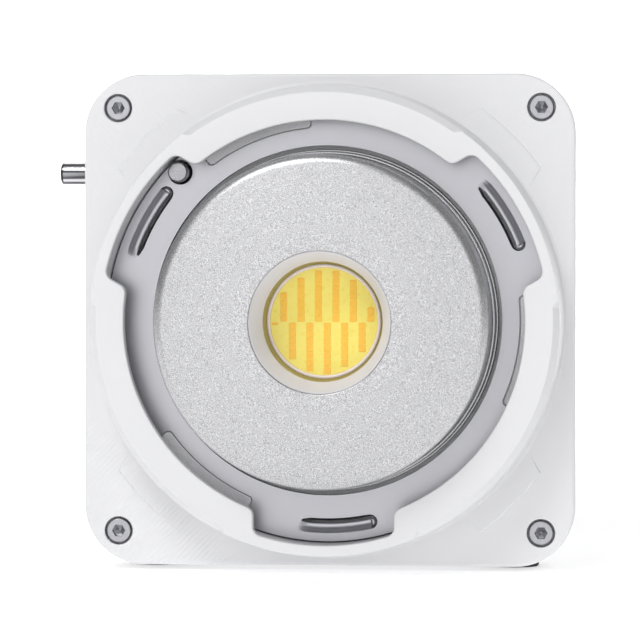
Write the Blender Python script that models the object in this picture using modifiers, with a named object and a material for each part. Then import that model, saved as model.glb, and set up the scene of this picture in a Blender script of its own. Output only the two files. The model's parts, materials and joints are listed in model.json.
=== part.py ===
"""Open-face COB LED spotlight head: square body, round three-tab bayonet mouth, blasted dome round the LED.

Lengths in this file are millimetres, and the helpers turn them into metres. Every piece hangs from the empty
"optical_axis", whose own axes are: +x to the right, +y up and +z out of the front plate, towards the subject.
z = 0 is the front plate's face, so a depth inside the head is negative. In the world +Z is up, the head looks
along -Y, and the origin is the middle of the base plate's underside.
"""

import math

import bmesh
import bpy
from mathutils import Matrix, Vector

MM = 0.001

# Body
BODY_SIDE = 123.4
BODY_CORNER = 15.0
SHELL_SIDE = 117.0
SHELL_CORNER = 8.0
SHELL_WALL = 2.2
SHELL_FRONT, SHELL_BACK = -8.3, -116.0
PLATE_THICKNESS = 8.0
BASE_PROUD = 4.7
AXIS_HEIGHT = SHELL_SIDE / 2 + BASE_PROUD
PLATE_FACE_Y = -60.0
# GAP is the air between touching pieces, and OVERLAP how far a Boolean's tool runs past a face
GAP, OVERLAP = 0.3, 1.0

# Sides of a round piece, by its size
WIDE_STEPS, MIDDLE_STEPS, SMALL_STEPS, TINY_STEPS = 48, 32, 18, 12

# Bayonet mouth
COLLAR_HEIGHT = 16.35
COLLAR_BASE_R, COLLAR_TOP_R = 59.0, 57.9
LIP_R, NOTCH_R, BORE_R = 49.7, 55.4, 55.6
LIP_THICKNESS = 3.5
NOTCH_HALF_WIDTH = 17.5
NOTCH_FILLET = 2.5
NOTCH_ANGLES = (30.0, 150.0, 270.0)
BORE_FLOOR = -4.3
LEDGE_R = 36.0
BEZEL_HOLE_R = 38.0
PAD_HEIGHT = 0.7
# The pads' edge and hidden inner radii, and half the turn that each takes up about its corner's diagonal
PAD_R, PAD_INNER_R, PAD_HALF_TURN, PAD_INNER_HALF_TURN = 65.4, 56.0, 9.4, 14.0

# Spring plate
SPRING_PLATE_FACE, SPRING_PLATE_THICKNESS = 4.4, 1.0
SPRING_PLATE_R, SPRING_PLATE_HOLE_R = 55.2, 43.7
TONGUE_R, TONGUE_WIDTH, TONGUE_SPAN, TONGUE_LEAD = 51.9, 3.4, 22.0, 2.0
SLIT = 0.5
WINDOW_R, WINDOW_WIDTH, WINDOW_SPAN, WINDOW_LAG = 49.7, 3.4, 33.0, 39.0

# Lock pin and release rod
PIN_X, PIN_Y = -36.9, 37.0
PIN_R, PIN_TIP = 2.5, 10.0
# The hole round the pin in the rings, and the closer one through the plate and the housing
PIN_HOLE_R, PIN_BORE_R = 3.3, 2.8
PIN_TRAVEL = 6.0
CARRIER_X, CARRIER_Y = 12.0, 10.0
CARRIER_FRONT, CARRIER_BACK = -17.4, -27.4
ROD_R, ROD_Z, ROD_END_X, ROD_INNER_X = 2.8, -22.4, -70.9, -37.2
HOUSING_WALL, HOUSING_BACK = 1.7, -41.0
PIN_SPRING_R, PIN_SPRING_WIRE_R, PIN_SPRING_TURNS = 3.4, 0.4, 5

# LED and cooling
DOME_R, DOME_FACE, DOME_HOLE_R, DOME_WALL = 41.3, 27.5, 17.5, 2.0
DOME_EDGE_FILLET = 2.6
CHIP_FACE = 13.0
PHOSPHOR_R, DAM_R = 13.3, 14.2
COLUMN_R, COLUMN_FRONT, COLUMN_BACK = 24.0, 10.7, -43.7
SINK_SIDE, SINK_FRONT, SINK_BASE, SINK_BACK = 94.0, -44.0, 5.0, -70.0
FIN_PITCH, FIN_THICKNESS = 6.0, 1.6
PIPE_R = 3.0
FAN_SIDE, FAN_FRONT, FAN_BACK, FAN_DUCT_R = 80.0, -70.6, -85.6, 38.5
ROTOR_HUB_R, ROTOR_R, BLADE_COUNT, BLADE_PITCH = 15.0, 37.0, 7, 35.0

# Electronics
DRIVER_BOARD_FACE, CONTROL_BOARD_FACE, BOARD_THICKNESS = -100.0, -108.0, 1.6

# Rear
REAR_FRONT, REAR_BACK, REAR_PANEL = -116.3, -122.0, -119.5
PANEL_SIDE, PANEL_CORNER = 104.0, 8.0
WINDOW_SIZE, WINDOW_CORNER, WINDOW_Y = (56.0, 34.0), 3.0, 25.0
KNOB_X, KNOB_Y, KNOB_R, KNOB_FACE = 34.0, -10.0, 11.0, -133.0
KNOB_TRAVEL = 0.6
BUTTON_PITCH, BUTTON_Y, BUTTON_R = 14.0, -10.0, 4.0
ROCKER_X, ROCKER_Y, ROCKER_PIVOT_Z, ROCKER_TILT = 34.0, -38.0, -118.0, 10.0
INLET_X, INLET_Y = -34.0, -38.0
PORT_Y = -38.0

# Corner screws: their offset from the axis, and the counterbores that they sit in
SCREW_OFFSET, SCREW_SEAT, SCREW_CLEAR_R = 53.2, 3.4, 1.8
FRONT_COUNTERBORE_R, REAR_COUNTERBORE_R = 3.55, 3.3
SCREW_POST_R, SCREW_POST_DEPTH = 3.6, 16.0
BOARD_POST_X, BOARD_POST_Y, BOARD_POST_R = 46.0, 38.0, 2.5

# Vents
VENT_COUNT, VENT_PITCH, VENT_WIDTH, VENT_LENGTH = 8, 7.5, 3.0, 52.0
VENT_SLANT, VENT_MIDDLE_Y, VENT_MIDDLE_Z = 25.0, -4.0, -68.0
TOP_VENTS_EACH_SIDE = 2

# Base
BASE_SIZE, BOSS_SIZE, BOSS_TOP = (64.0, 56.0), (24.0, 40.0), 12.0
SOCKET_Y, SOCKET_DEPTH, LARGE_SOCKET_R, SMALL_SOCKET_R = 9.0, 10.0, 4.6, 3.1
FOOT_R, FOOT_X, FOOT_FRONT_Y, FOOT_BACK_Y = 6.0, 46.0, -38.0, 44.0

# Colour, roughness and metallic value of each finish
FINISHES = {
    "white_paint": ((0.86, 0.86, 0.87), 0.45, 0.0),
    "satin_steel": ((0.56, 0.56, 0.58), 0.32, 1.0),
    "cast_metal": ((0.45, 0.45, 0.46), 0.6, 1.0),
    "blasted_aluminium": ((0.74, 0.74, 0.75), 0.5, 1.0),
    "aluminium": ((0.7, 0.71, 0.72), 0.4, 1.0),
    "polished_steel": ((0.62, 0.62, 0.64), 0.18, 1.0),
    "copper": ((0.72, 0.38, 0.24), 0.3, 1.0),
    "phosphor": ((0.95, 0.78, 0.2), 0.5, 0.0),
    "pale_silicone": ((0.9, 0.84, 0.8), 0.5, 0.0),
    "chip_board": ((0.42, 0.36, 0.1), 0.5, 0.0),
    "cream_plastic": ((0.9, 0.89, 0.84), 0.4, 0.0),
    "dark_plastic": ((0.03, 0.03, 0.032), 0.5, 0.0),
    "circuit_board": ((0.02, 0.14, 0.07), 0.45, 0.0),
    "display_glass": ((0.02, 0.02, 0.025), 0.08, 0.0),
    "rubber": ((0.025, 0.025, 0.025), 0.8, 0.0),
}


def clear_scene():
    for obj in list(bpy.data.objects):
        bpy.data.objects.remove(obj, do_unlink=True)


def new_collection(name):
    collection = bpy.data.collections.new(name)
    bpy.context.scene.collection.children.link(collection)
    return collection


clear_scene()
bpy.context.scene.unit_settings.scale_length = 1.0
parts = new_collection("cob_spotlight_head")
cutters = new_collection("cutters")

optical_axis = bpy.data.objects.new("optical_axis", None)
optical_axis.location = Vector((0.0, PLATE_FACE_Y, AXIS_HEIGHT)) * MM
optical_axis.rotation_euler = (math.pi / 2, 0.0, 0.0)
parts.objects.link(optical_axis)


# Outlines


def arc(radius, start, end, steps, centre=(0.0, 0.0)):
    """Points of an arc from start to end, in degrees, both ends included."""
    turns = [math.radians(start + (end - start) * i / steps) for i in range(steps + 1)]
    return [(centre[0] + radius * math.cos(t), centre[1] + radius * math.sin(t)) for t in turns]


def circle(radius, steps, centre=(0.0, 0.0)):
    return arc(radius, 0.0, 360.0, steps, centre)[:-1]


def rounded_rectangle(width, height, corner, steps=6, centre=(0.0, 0.0)):
    points = []
    for quarter, (side_x, side_y) in enumerate(((1, 1), (-1, 1), (-1, -1), (1, -1))):
        middle = (
            centre[0] + side_x * (width / 2 - corner),
            centre[1] + side_y * (height / 2 - corner),
        )
        points += arc(corner, 90.0 * quarter, 90.0 * (quarter + 1), steps, middle)
    return points


def turn(points, degrees):
    c, s = math.cos(math.radians(degrees)), math.sin(math.radians(degrees))
    return [(c * x - s * y, s * x + c * y) for x, y in points]


def ring_slot(radius, width, span, middle, steps=10):
    """Outline of a slot bent round the axis, with rounded corners, centred on the angle middle."""
    corner = width * 0.35
    inner, outer = radius - width / 2, radius + width / 2
    inset = math.degrees(corner / radius)
    half = span / 2
    points = arc(outer, -half + inset, half - inset, steps)
    for near, sign, start in ((outer - corner, 1, 0.0), (inner + corner, 1, 90.0)):
        points += corner_arc(near, sign * (half - inset), corner, start)
    points += arc(inner, half - inset, -half + inset, steps)
    for near, sign, start in ((inner + corner, -1, 180.0), (outer - corner, -1, 270.0)):
        points += corner_arc(near, sign * (half - inset), corner, start)
    return turn(points, middle)


def corner_arc(radius, angle, corner, start):
    """A quarter turn about the point at this radius and angle. Its neighbours hold its two ends."""
    centre = (radius * math.cos(math.radians(angle)), radius * math.sin(math.radians(angle)))
    return arc(corner, start + angle, start + angle + 90.0, 4, centre)[1:-1]


def notch_half():
    """Half of one notch of the bayonet mouth, from its middle to the middle of the next lip, along +x."""
    fillet, wall = NOTCH_FILLET, NOTCH_HALF_WIDTH
    concave_x = math.sqrt((NOTCH_R - fillet) ** 2 - (wall - fillet) ** 2)
    convex_x = math.sqrt((LIP_R + fillet) ** 2 - (wall + fillet) ** 2)
    concave_turn = math.degrees(math.atan2(wall - fillet, concave_x))
    convex_turn = math.degrees(math.atan2(wall + fillet, convex_x))
    points = arc(NOTCH_R, 0.0, concave_turn, 3)
    points += arc(fillet, concave_turn, 90.0, 3, (concave_x, wall - fillet))[1:]
    points += arc(fillet, -90.0, convex_turn - 180.0, 3, (convex_x, wall + fillet))
    points += arc(LIP_R, convex_turn, 60.0, 5)[1:]
    return points


def bayonet_outline():
    half = notch_half()
    mirrored = [(x, -y) for x, y in reversed(half)]
    whole = mirrored[:-1] + half[:-1]
    return [point for angle in NOTCH_ANGLES for point in turn(whole, angle)]


# Solids


def link(name, mesh, at=(0.0, 0.0, 0.0)):
    """A new object in the parts collection, on the optical axis's frame."""
    obj = bpy.data.objects.new(name, mesh)
    parts.objects.link(obj)
    obj.parent = optical_axis
    obj.location = Vector(at) * MM
    return obj


def prism(name, loops, low, high, at=(0.0, 0.0, 0.0)):
    """Flat outlines, the first one the rim and the others holes, drawn out from low to high."""
    curve = bpy.data.curves.new(name, "CURVE")
    curve.dimensions = "2D"
    curve.fill_mode = "BOTH"
    curve.extrude = (high - low) / 2
    for loop in loops:
        spline = curve.splines.new("POLY")
        spline.points.add(len(loop) - 1)
        for point, (x, y) in zip(spline.points, loop):
            point.co = (x, y, 0.0, 1.0)
        spline.use_cyclic_u = True
    return link(name, welded_mesh(name, curve, (low + high) / 2), at)


def tube_curve(name, points, radius, at=(0.0, 0.0, 0.0)):
    """A round bar along points."""
    curve = bpy.data.curves.new(name, "CURVE")
    curve.dimensions = "3D"
    curve.bevel_depth = radius
    curve.bevel_resolution = 2
    curve.use_fill_caps = True
    spline = curve.splines.new("POLY")
    spline.points.add(len(points) - 1)
    for point, place in zip(spline.points, points):
        point.co = (*place, 1.0)
    return link(name, welded_mesh(name, curve), at)


def welded_mesh(name, curve, lift=0.0):
    """The curve, drawn in millimetres, as a closed mesh in metres, moved up by lift."""
    guide = bpy.data.objects.new(name, curve)
    bpy.context.scene.collection.objects.link(guide)
    graph = bpy.context.evaluated_depsgraph_get()
    mesh = bpy.data.meshes.new_from_object(guide.evaluated_get(graph))
    bpy.data.objects.remove(guide)
    bpy.data.curves.remove(curve)
    solid = bmesh.new()
    solid.from_mesh(mesh)
    bmesh.ops.remove_doubles(solid, verts=solid.verts, dist=1e-4)
    bmesh.ops.translate(solid, verts=solid.verts, vec=(0.0, 0.0, lift))
    bmesh.ops.scale(solid, verts=solid.verts, vec=(MM, MM, MM))
    solid.to_mesh(mesh)
    solid.free()
    mesh.name = name
    return mesh


def turned(name, profile, steps, at=(0.0, 0.0, 0.0), closed=False):
    """A profile of (radius, z) points, listed down its outer side, turned round the z axis."""
    mesh = bpy.data.meshes.new(name)
    edges = [(i, i + 1) for i in range(len(profile) - 1)]
    if closed:
        edges.append((len(profile) - 1, 0))
    mesh.from_pydata([(r * MM, 0.0, z * MM) for r, z in profile], edges, [])
    obj = link(name, mesh, at)
    screw = obj.modifiers.new("turn", "SCREW")
    screw.steps = screw.render_steps = steps
    screw.use_merge_vertices = True
    screw.merge_threshold = 1e-5
    screw.use_normal_calculate = False
    screw.use_smooth_shade = True
    return obj


def cylinder(name, radius, low, high, steps, at=(0.0, 0.0, 0.0)):
    return turned(name, ((0.0, high), (radius, high), (radius, low), (0.0, low)), steps, at)


def box(name, low, high, at=(0.0, 0.0, 0.0), spin=None):
    """A block between two corners, turned by the matrix spin about at."""
    solid = bmesh.new()
    bmesh.ops.create_cube(solid, size=1.0)
    low, high = Vector(low) * MM, Vector(high) * MM
    bmesh.ops.scale(solid, verts=solid.verts, vec=high - low)
    bmesh.ops.translate(solid, verts=solid.verts, vec=(low + high) / 2)
    if spin is not None:
        bmesh.ops.transform(solid, verts=solid.verts, matrix=spin)
    mesh = bpy.data.meshes.new(name)
    solid.to_mesh(mesh)
    solid.free()
    return link(name, mesh, at)


def combine(obj, other, operation):
    """A Boolean whose second solid moves to the cutters."""
    modifier = obj.modifiers.new(other.name, "BOOLEAN")
    modifier.operation = operation
    modifier.solver = "EXACT"
    modifier.object = other
    parts.objects.unlink(other)
    cutters.objects.link(other)
    other.hide_render = True
    other.display_type = "WIRE"


def cut(obj, *others):
    for other in others:
        combine(obj, other, "DIFFERENCE")


def join(obj, *others):
    for other in others:
        combine(obj, other, "UNION")


def finish(obj, finish_name):
    """Gives the object a material of its own and smooth round faces."""
    colour, roughness, metallic = FINISHES[finish_name]
    material = bpy.data.materials.new(obj.name)
    material.use_nodes = True
    shader = material.node_tree.nodes["Principled BSDF"]
    shader.inputs["Base Color"].default_value = (*colour, 1.0)
    shader.inputs["Roughness"].default_value = roughness
    shader.inputs["Metallic"].default_value = metallic
    obj.data.materials.append(material)
    obj.data.shade_smooth()
    obj.data.set_sharp_from_angle(angle=math.radians(30.0))
    return obj


CORNERS = {
    "top_left": (-1, 1),
    "top_right": (1, 1),
    "bottom_left": (-1, -1),
    "bottom_right": (1, -1),
}


# Front


def front_bezel():
    bezel = prism(
        "front_bezel",
        [rounded_rectangle(BODY_SIDE, BODY_SIDE, BODY_CORNER)],
        -PLATE_THICKNESS,
        0.0,
    )
    collar = (
        (0.0, COLLAR_HEIGHT),
        (COLLAR_TOP_R, COLLAR_HEIGHT),
        (COLLAR_BASE_R, -OVERLAP),
        (0.0, -OVERLAP),
    )
    join(bezel, turned("collar", collar, WIDE_STEPS))
    pad_outline = arc(PAD_R, 45.0 - PAD_HALF_TURN, 45.0 + PAD_HALF_TURN, 4)
    pad_outline += arc(PAD_INNER_R, 45.0 + PAD_INNER_HALF_TURN, 45.0 - PAD_INNER_HALF_TURN, 2)
    for name, (side_x, side_y) in CORNERS.items():
        pad = [(side_x * x, side_y * y) for x, y in pad_outline]
        join(bezel, prism("pad_" + name, [pad], -OVERLAP, PAD_HEIGHT))
    undercut = COLLAR_HEIGHT - LIP_THICKNESS
    behind, ledge_front = -PLATE_THICKNESS - OVERLAP, BORE_FLOOR + OVERLAP
    pin_place = (PIN_X, PIN_Y, 0.0)
    cut(
        bezel,
        cylinder("bore", BORE_R, BORE_FLOOR, undercut, WIDE_STEPS),
        cylinder("ledge_hole", BEZEL_HOLE_R, behind, ledge_front, MIDDLE_STEPS),
        prism("mouth", [bayonet_outline()], undercut - OVERLAP, COLLAR_HEIGHT + OVERLAP),
        cylinder("pin_passage", PIN_BORE_R, behind, ledge_front, TINY_STEPS, pin_place),
    )
    hole = (
        (0.0, OVERLAP),
        (FRONT_COUNTERBORE_R, OVERLAP),
        (FRONT_COUNTERBORE_R, -SCREW_SEAT),
        (SCREW_CLEAR_R, -SCREW_SEAT),
        (SCREW_CLEAR_R, behind),
        (0.0, behind),
    )
    for name, (side_x, side_y) in CORNERS.items():
        place = (side_x * SCREW_OFFSET, side_y * SCREW_OFFSET, 0.0)
        cut(bezel, turned("front_screw_hole_" + name, hole, TINY_STEPS, place))
    finish(bezel, "white_paint")


def cap_screw(name, at, facing):
    """A socket-head cap screw. facing is 1 if its head looks to the front and -1 to the rear."""
    head_r, head, shank_r, shank, hex_r, hex_depth = 2.75, 2.8, 1.5, 14.0, 1.45, 1.5
    profile = [
        (0.0, head),
        (head_r, head),
        (head_r, 0.0),
        (shank_r, 0.0),
        (shank_r, -shank),
        (0.0, -shank),
    ]
    if facing < 0:
        profile = [(r, -z) for r, z in reversed(profile)]
    screw = turned(name, profile, TINY_STEPS, at)
    low, high = sorted((facing * (head - hex_depth), facing * (head + OVERLAP)))
    cut(screw, prism(name + "_socket", [circle(hex_r, 6)], low, high, at))
    finish(screw, "satin_steel")


def mount_spring_plate():
    loops = [circle(SPRING_PLATE_R, WIDE_STEPS), circle(SPRING_PLATE_HOLE_R, WIDE_STEPS)]
    for angle in NOTCH_ANGLES:
        middle = angle + TONGUE_LEAD
        for side in (-1, 1):
            edge = TONGUE_R + side * (TONGUE_WIDTH + SLIT) / 2
            loops.append(ring_slot(edge, SLIT, TONGUE_SPAN, middle, 4))
        loops.append(ring_slot(WINDOW_R, WINDOW_WIDTH, WINDOW_SPAN, angle - WINDOW_LAG, 5))
    bottom = SPRING_PLATE_FACE - SPRING_PLATE_THICKNESS
    plate = prism("mount_spring_plate", loops, bottom, SPRING_PLATE_FACE)
    cut(plate, pin_hole("plate_pin_hole", bottom, SPRING_PLATE_FACE))
    finish(plate, "satin_steel")


def pin_hole(name, low, high):
    """A cutter for the lock pin's hole, which just breaks through the outer edge of the rings."""
    return cylinder(name, PIN_HOLE_R, low - OVERLAP, high + OVERLAP, TINY_STEPS, (PIN_X, PIN_Y, 0.0))


def mount_backing_ring():
    top = SPRING_PLATE_FACE - SPRING_PLATE_THICKNESS - GAP
    outer, inner = SPRING_PLATE_R, SPRING_PLATE_HOLE_R + 0.2
    flange_top, bottom = -1.0, BORE_FLOOR + GAP
    profile = (
        (inner, top),
        (outer, top),
        (outer, bottom),
        (LEDGE_R, bottom),
        (LEDGE_R, flange_top),
        (inner, flange_top),
    )
    ring = turned("mount_backing_ring", profile, WIDE_STEPS, closed=True)
    cut(ring, pin_hole("ring_pin_hole", bottom, top))
    finish(ring, "cast_metal")


def lock_pin():
    """The pin and the carrier block at its back end."""
    place = (PIN_X, PIN_Y, 0.0)
    tip_chamfer = 0.4
    profile = (
        (0.0, PIN_TIP),
        (PIN_R - tip_chamfer, PIN_TIP),
        (PIN_R, PIN_TIP - tip_chamfer),
        (PIN_R, CARRIER_FRONT - OVERLAP),
        (0.0, CARRIER_FRONT - OVERLAP),
    )
    pin = turned("lock_pin", profile, SMALL_STEPS, place)
    half_x, half_y = CARRIER_X / 2, CARRIER_Y / 2
    join(pin, box("carrier", (-half_x, -half_y, CARRIER_BACK), (half_x, half_y, CARRIER_FRONT), place))
    rod_hole = lying_cylinder("rod_hole", ROD_R + GAP, ROD_END_X, ROD_INNER_X + GAP, TINY_STEPS)
    cut(pin, rod_hole)
    finish(pin, "satin_steel")


def lying_cylinder(name, radius, left, right, steps):
    """A cylinder along x, at the release rod's height and depth."""
    profile = ((0.0, right), (radius, right), (radius, left), (0.0, left))
    obj = turned(name, profile, steps, (0.0, PIN_Y, ROD_Z))
    obj.rotation_euler = (0.0, math.pi / 2, 0.0)
    return obj


def release_rod():
    chamfer = 0.5
    profile = (
        (0.0, ROD_INNER_X),
        (ROD_R, ROD_INNER_X),
        (ROD_R, ROD_END_X + chamfer),
        (ROD_R - chamfer, ROD_END_X),
        (0.0, ROD_END_X),
    )
    rod = turned("release_rod", profile, SMALL_STEPS, (0.0, PIN_Y, ROD_Z))
    rod.rotation_euler = (0.0, math.pi / 2, 0.0)
    finish(rod, "polished_steel")


def lock_pin_housing():
    """A box behind the front plate that guides the carrier, seats the spring and lets the rod out."""
    place = (PIN_X, PIN_Y, 0.0)
    inner_x, inner_y = CARRIER_X / 2 + GAP, CARRIER_Y / 2 + GAP
    outer_x, outer_y = inner_x + HOUSING_WALL, inner_y + HOUSING_WALL
    front = -PLATE_THICKNESS - GAP
    inner_front, inner_back = CARRIER_FRONT + GAP, HOUSING_BACK + HOUSING_WALL
    outer_corners = (-outer_x, -outer_y, HOUSING_BACK), (outer_x, outer_y, front)
    housing = box("lock_pin_housing", *outer_corners, place)
    slot_y = ROD_R + GAP
    slot_back, slot_front = ROD_Z - PIN_TRAVEL - slot_y, ROD_Z + slot_y
    cut(
        housing,
        box("carrier_room", (-inner_x, -inner_y, inner_back), (inner_x, inner_y, inner_front), place),
        cylinder("housing_pin_hole", PIN_BORE_R, inner_front - OVERLAP, front + OVERLAP, TINY_STEPS, place),
        box("housing_rod_slot", (-outer_x - OVERLAP, -slot_y, slot_back), (0.0, slot_y, slot_front), place),
    )
    finish(housing, "cast_metal")


def lock_pin_spring():
    points_per_turn = 8
    front = CARRIER_BACK - GAP - PIN_SPRING_WIRE_R
    back = HOUSING_BACK + HOUSING_WALL + GAP + PIN_SPRING_WIRE_R
    count = PIN_SPRING_TURNS * points_per_turn
    points = []
    for i in range(count + 1):
        angle = 2 * math.pi * i / points_per_turn
        depth = front + (back - front) * i / count
        points.append((PIN_SPRING_R * math.cos(angle), PIN_SPRING_R * math.sin(angle), depth))
    finish(tube_curve("lock_pin_spring", points, PIN_SPRING_WIRE_R, (PIN_X, PIN_Y, 0.0)), "satin_steel")


# LED and cooling


def dome_cover():
    """The cap: a fillet round its face, and a skirt that steps out twice towards the back."""
    centre_r, centre_z = DOME_R - DOME_EDGE_FILLET, DOME_FACE - DOME_EDGE_FILLET
    edge = arc(DOME_EDGE_FILLET, 90.0, 0.0, 3, (centre_r, centre_z))
    bottom, inner = -0.7, DOME_R - DOME_WALL
    first_step, second_step, ceiling = 8.0, 3.0, DOME_FACE - DOME_WALL
    step_r, foot_r = DOME_R + 0.8, DOME_R + 1.4
    skirt = (
        (DOME_R, first_step),
        (step_r, first_step),
        (step_r, second_step),
        (foot_r, second_step),
        (foot_r, bottom),
    )
    inside = ((inner, bottom), (inner, ceiling), (DOME_HOLE_R, ceiling))
    profile = [(DOME_HOLE_R, DOME_FACE), *edge, *skirt, *inside]
    finish(turned("dome_cover", profile, WIDE_STEPS, closed=True), "blasted_aluminium")


def reflector_cone():
    mouth_r, throat_r, throat = 17.2, 14.8, 18.0
    mouth = DOME_FACE - 0.4
    flange_r, flange_top = 22.0, throat + 1.5
    wall = 1.0
    profile = (
        (mouth_r - 0.6, mouth),
        (mouth_r, mouth),
        (throat_r + wall + 0.4, flange_top),
        (flange_r, flange_top),
        (flange_r, throat),
        (throat_r, throat),
    )
    finish(turned("reflector_cone", profile, MIDDLE_STEPS, closed=True), "cream_plastic")


def led_stack():
    disc = cylinder("led_phosphor_disc", PHOSPHOR_R, CHIP_FACE + GAP, CHIP_FACE + 0.9, MIDDLE_STEPS)
    finish(disc, "phosphor")
    inner, low, high = PHOSPHOR_R + GAP, CHIP_FACE + GAP, CHIP_FACE + 1.3
    dam = ((inner, high), (DAM_R, high), (DAM_R, low), (inner, low))
    finish(turned("led_dam_ring", dam, MIDDLE_STEPS, closed=True), "pale_silicone")
    board_half, board_back = 17.0, CHIP_FACE - 2.0
    finish(
        box("led_chip_board", (-board_half, -board_half, board_back), (board_half, board_half, CHIP_FACE)),
        "chip_board",
    )
    holder_r, hole_r, holder_front = 27.0, 16.0, 16.0
    loops = [circle(holder_r, MIDDLE_STEPS), circle(hole_r, MIDDLE_STEPS)]
    holder = prism("led_holder", loops, board_back + GAP, holder_front)
    room = board_half + GAP
    pocket = box("board_room", (-room, -room, board_back - OVERLAP), (room, room, CHIP_FACE + GAP))
    cut(holder, pocket)
    finish(holder, "cream_plastic")


def heat_column():
    finish(cylinder("heat_column", COLUMN_R, COLUMN_BACK, COLUMN_FRONT, MIDDLE_STEPS), "aluminium")


def heat_pipes():
    """Four pipes run back along the column, then turn outwards along the heatsink."""
    flank, bend_r, foot = COLUMN_R + GAP + PIPE_R, 8.0, SINK_FRONT + GAP + PIPE_R
    top, reach = 6.0, 44.0
    bend_centre = (flank + bend_r, foot + bend_r)
    bend = arc(bend_r, 180.0, 270.0, 5, bend_centre)
    route = [(flank, top), (flank, (top + foot) / 2), *bend, (reach, foot)]
    for i, name in enumerate(("right", "top", "left", "bottom")):
        side_x, side_y = round(math.cos(i * math.pi / 2)), round(math.sin(i * math.pi / 2))
        points = [(side_x * r, side_y * r, z) for r, z in route]
        finish(tube_curve("heat_pipe_" + name, points, PIPE_R), "copper")


def heatsink():
    """A base with fins that stand back from it: one comb outline, drawn out sideways."""
    half = SINK_SIDE / 2
    base_back = SINK_FRONT - SINK_BASE
    count = int((SINK_SIDE - FIN_THICKNESS) / FIN_PITCH) + 1
    first = -(count - 1) * FIN_PITCH / 2
    comb = [(-half, SINK_FRONT), (-half, base_back)]
    for i in range(count):
        left = first + i * FIN_PITCH - FIN_THICKNESS / 2
        right = left + FIN_THICKNESS
        comb += [(left, base_back), (left, SINK_BACK), (right, SINK_BACK), (right, base_back)]
    comb += [(half, base_back), (half, SINK_FRONT)]
    sink = prism("heatsink", [comb], -half, half)
    sink.rotation_euler = (math.pi / 2, 0.0, 0.0)
    finish(sink, "aluminium")


def fan():
    middle = (FAN_FRONT + FAN_BACK) / 2
    place = (0.0, 0.0, middle)
    low, high = FAN_BACK - middle, FAN_FRONT - middle
    strut_top = low + 2.5
    loops = [rounded_rectangle(FAN_SIDE, FAN_SIDE, 5.0, 3), circle(FAN_DUCT_R, MIDDLE_STEPS)]
    frame = prism("fan_frame", loops, low, high, place)
    join(frame, cylinder("fan_hub_seat", ROTOR_HUB_R - 1.0, low, strut_top, SMALL_STEPS, place))
    for i in range(4):
        spin = Matrix.Rotation(math.radians(45.0 + 90.0 * i), 4, "Z")
        near, far = (10.0, -2.0, low), (FAN_DUCT_R + OVERLAP, 2.0, strut_top)
        join(frame, box(f"fan_strut_{i}", near, far, place, spin))
    shaft_r = 1.5
    shaft_low, shaft_high = low - OVERLAP, strut_top + OVERLAP
    cut(frame, cylinder("fan_shaft_hole", shaft_r + GAP, shaft_low, shaft_high, TINY_STEPS, place))
    finish(frame, "dark_plastic")

    hub_low, hub_high = strut_top + 0.6, high - 1.0
    profile = (
        (0.0, hub_high),
        (ROTOR_HUB_R, hub_high),
        (ROTOR_HUB_R, hub_low),
        (shaft_r, hub_low),
        (shaft_r, low + 1.0),
        (0.0, low + 1.0),
    )
    rotor = turned("fan_rotor", profile, SMALL_STEPS, place)
    hub_middle = (hub_low + hub_high) / 2
    chord, blade_thickness = 13.0, 1.2
    for i in range(BLADE_COUNT):
        around = Matrix.Rotation(2 * math.pi * i / BLADE_COUNT, 4, "Z")
        pitch = Matrix.Rotation(math.radians(BLADE_PITCH), 4, "X")
        lift = Matrix.Translation((0.0, 0.0, hub_middle * MM))
        low_corner = (ROTOR_HUB_R - 2.0, -chord / 2, -blade_thickness / 2)
        high_corner = (ROTOR_R, chord / 2, blade_thickness / 2)
        join(rotor, box(f"blade_{i}", low_corner, high_corner, place, around @ lift @ pitch))
    finish(rotor, "dark_plastic")


# Electronics


def driver_board():
    half_x, half_y = 50.0, 44.0
    face = DRIVER_BOARD_FACE
    board = box("driver_board", (-half_x, -half_y, face - BOARD_THICKNESS), (half_x, half_y, face))
    blocks = {
        "transformer": ((-40.0, -6.0), (-12.0, 18.0), 11.0),
        "coil": ((4.0, 8.0), (20.0, 24.0), 9.0),
        "switch_block": ((26.0, -30.0), (44.0, -10.0), 7.0),
        "terminals": ((-44.0, -38.0), (-20.0, -30.0), 8.0),
    }
    for name, (low, high, height) in blocks.items():
        join(board, box(name, (*low, face - 0.5), (*high, face + height)))
    capacitor_r, capacitor_height, capacitor_pitch = 5.0, 11.0, 13.0
    for i in range(3):
        place = (-6.0 + capacitor_pitch * i, -24.0, 0.0)
        height = face + capacitor_height
        join(board, cylinder(f"capacitor_{i}", capacitor_r, face - 0.5, height, TINY_STEPS, place))
    finish(board, "circuit_board")


def control_board():
    half_x, bottom, top = 42.0, -22.0, 45.0
    back = CONTROL_BOARD_FACE - BOARD_THICKNESS
    board = box("control_board", (-half_x, bottom, back), (half_x, top, CONTROL_BOARD_FACE))
    switch_half, switch_height = 3.0, 3.6
    for i in (-1, 0, 1):
        x = i * BUTTON_PITCH
        low = (x - switch_half, BUTTON_Y - switch_half, back - switch_height)
        high = (x + switch_half, BUTTON_Y + switch_half, back + 0.5)
        join(board, box(f"key_switch_{i + 1}", low, high))
    finish(board, "circuit_board")


def display():
    width, height = WINDOW_SIZE
    place = (0.0, WINDOW_Y, 0.0)
    glass_thickness = 1.2
    outline = rounded_rectangle(width, height, WINDOW_CORNER, 4)
    glass = prism("display_window", [outline], REAR_PANEL, REAR_PANEL + glass_thickness, place)
    finish(glass, "display_glass")
    half_x, half_y, front, back = 26.0, 15.0, -112.6, REAR_FRONT + GAP
    module = box("display_module", (-half_x, -half_y, back), (half_x, half_y, front), place)
    finish(module, "dark_plastic")


# Body

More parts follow.
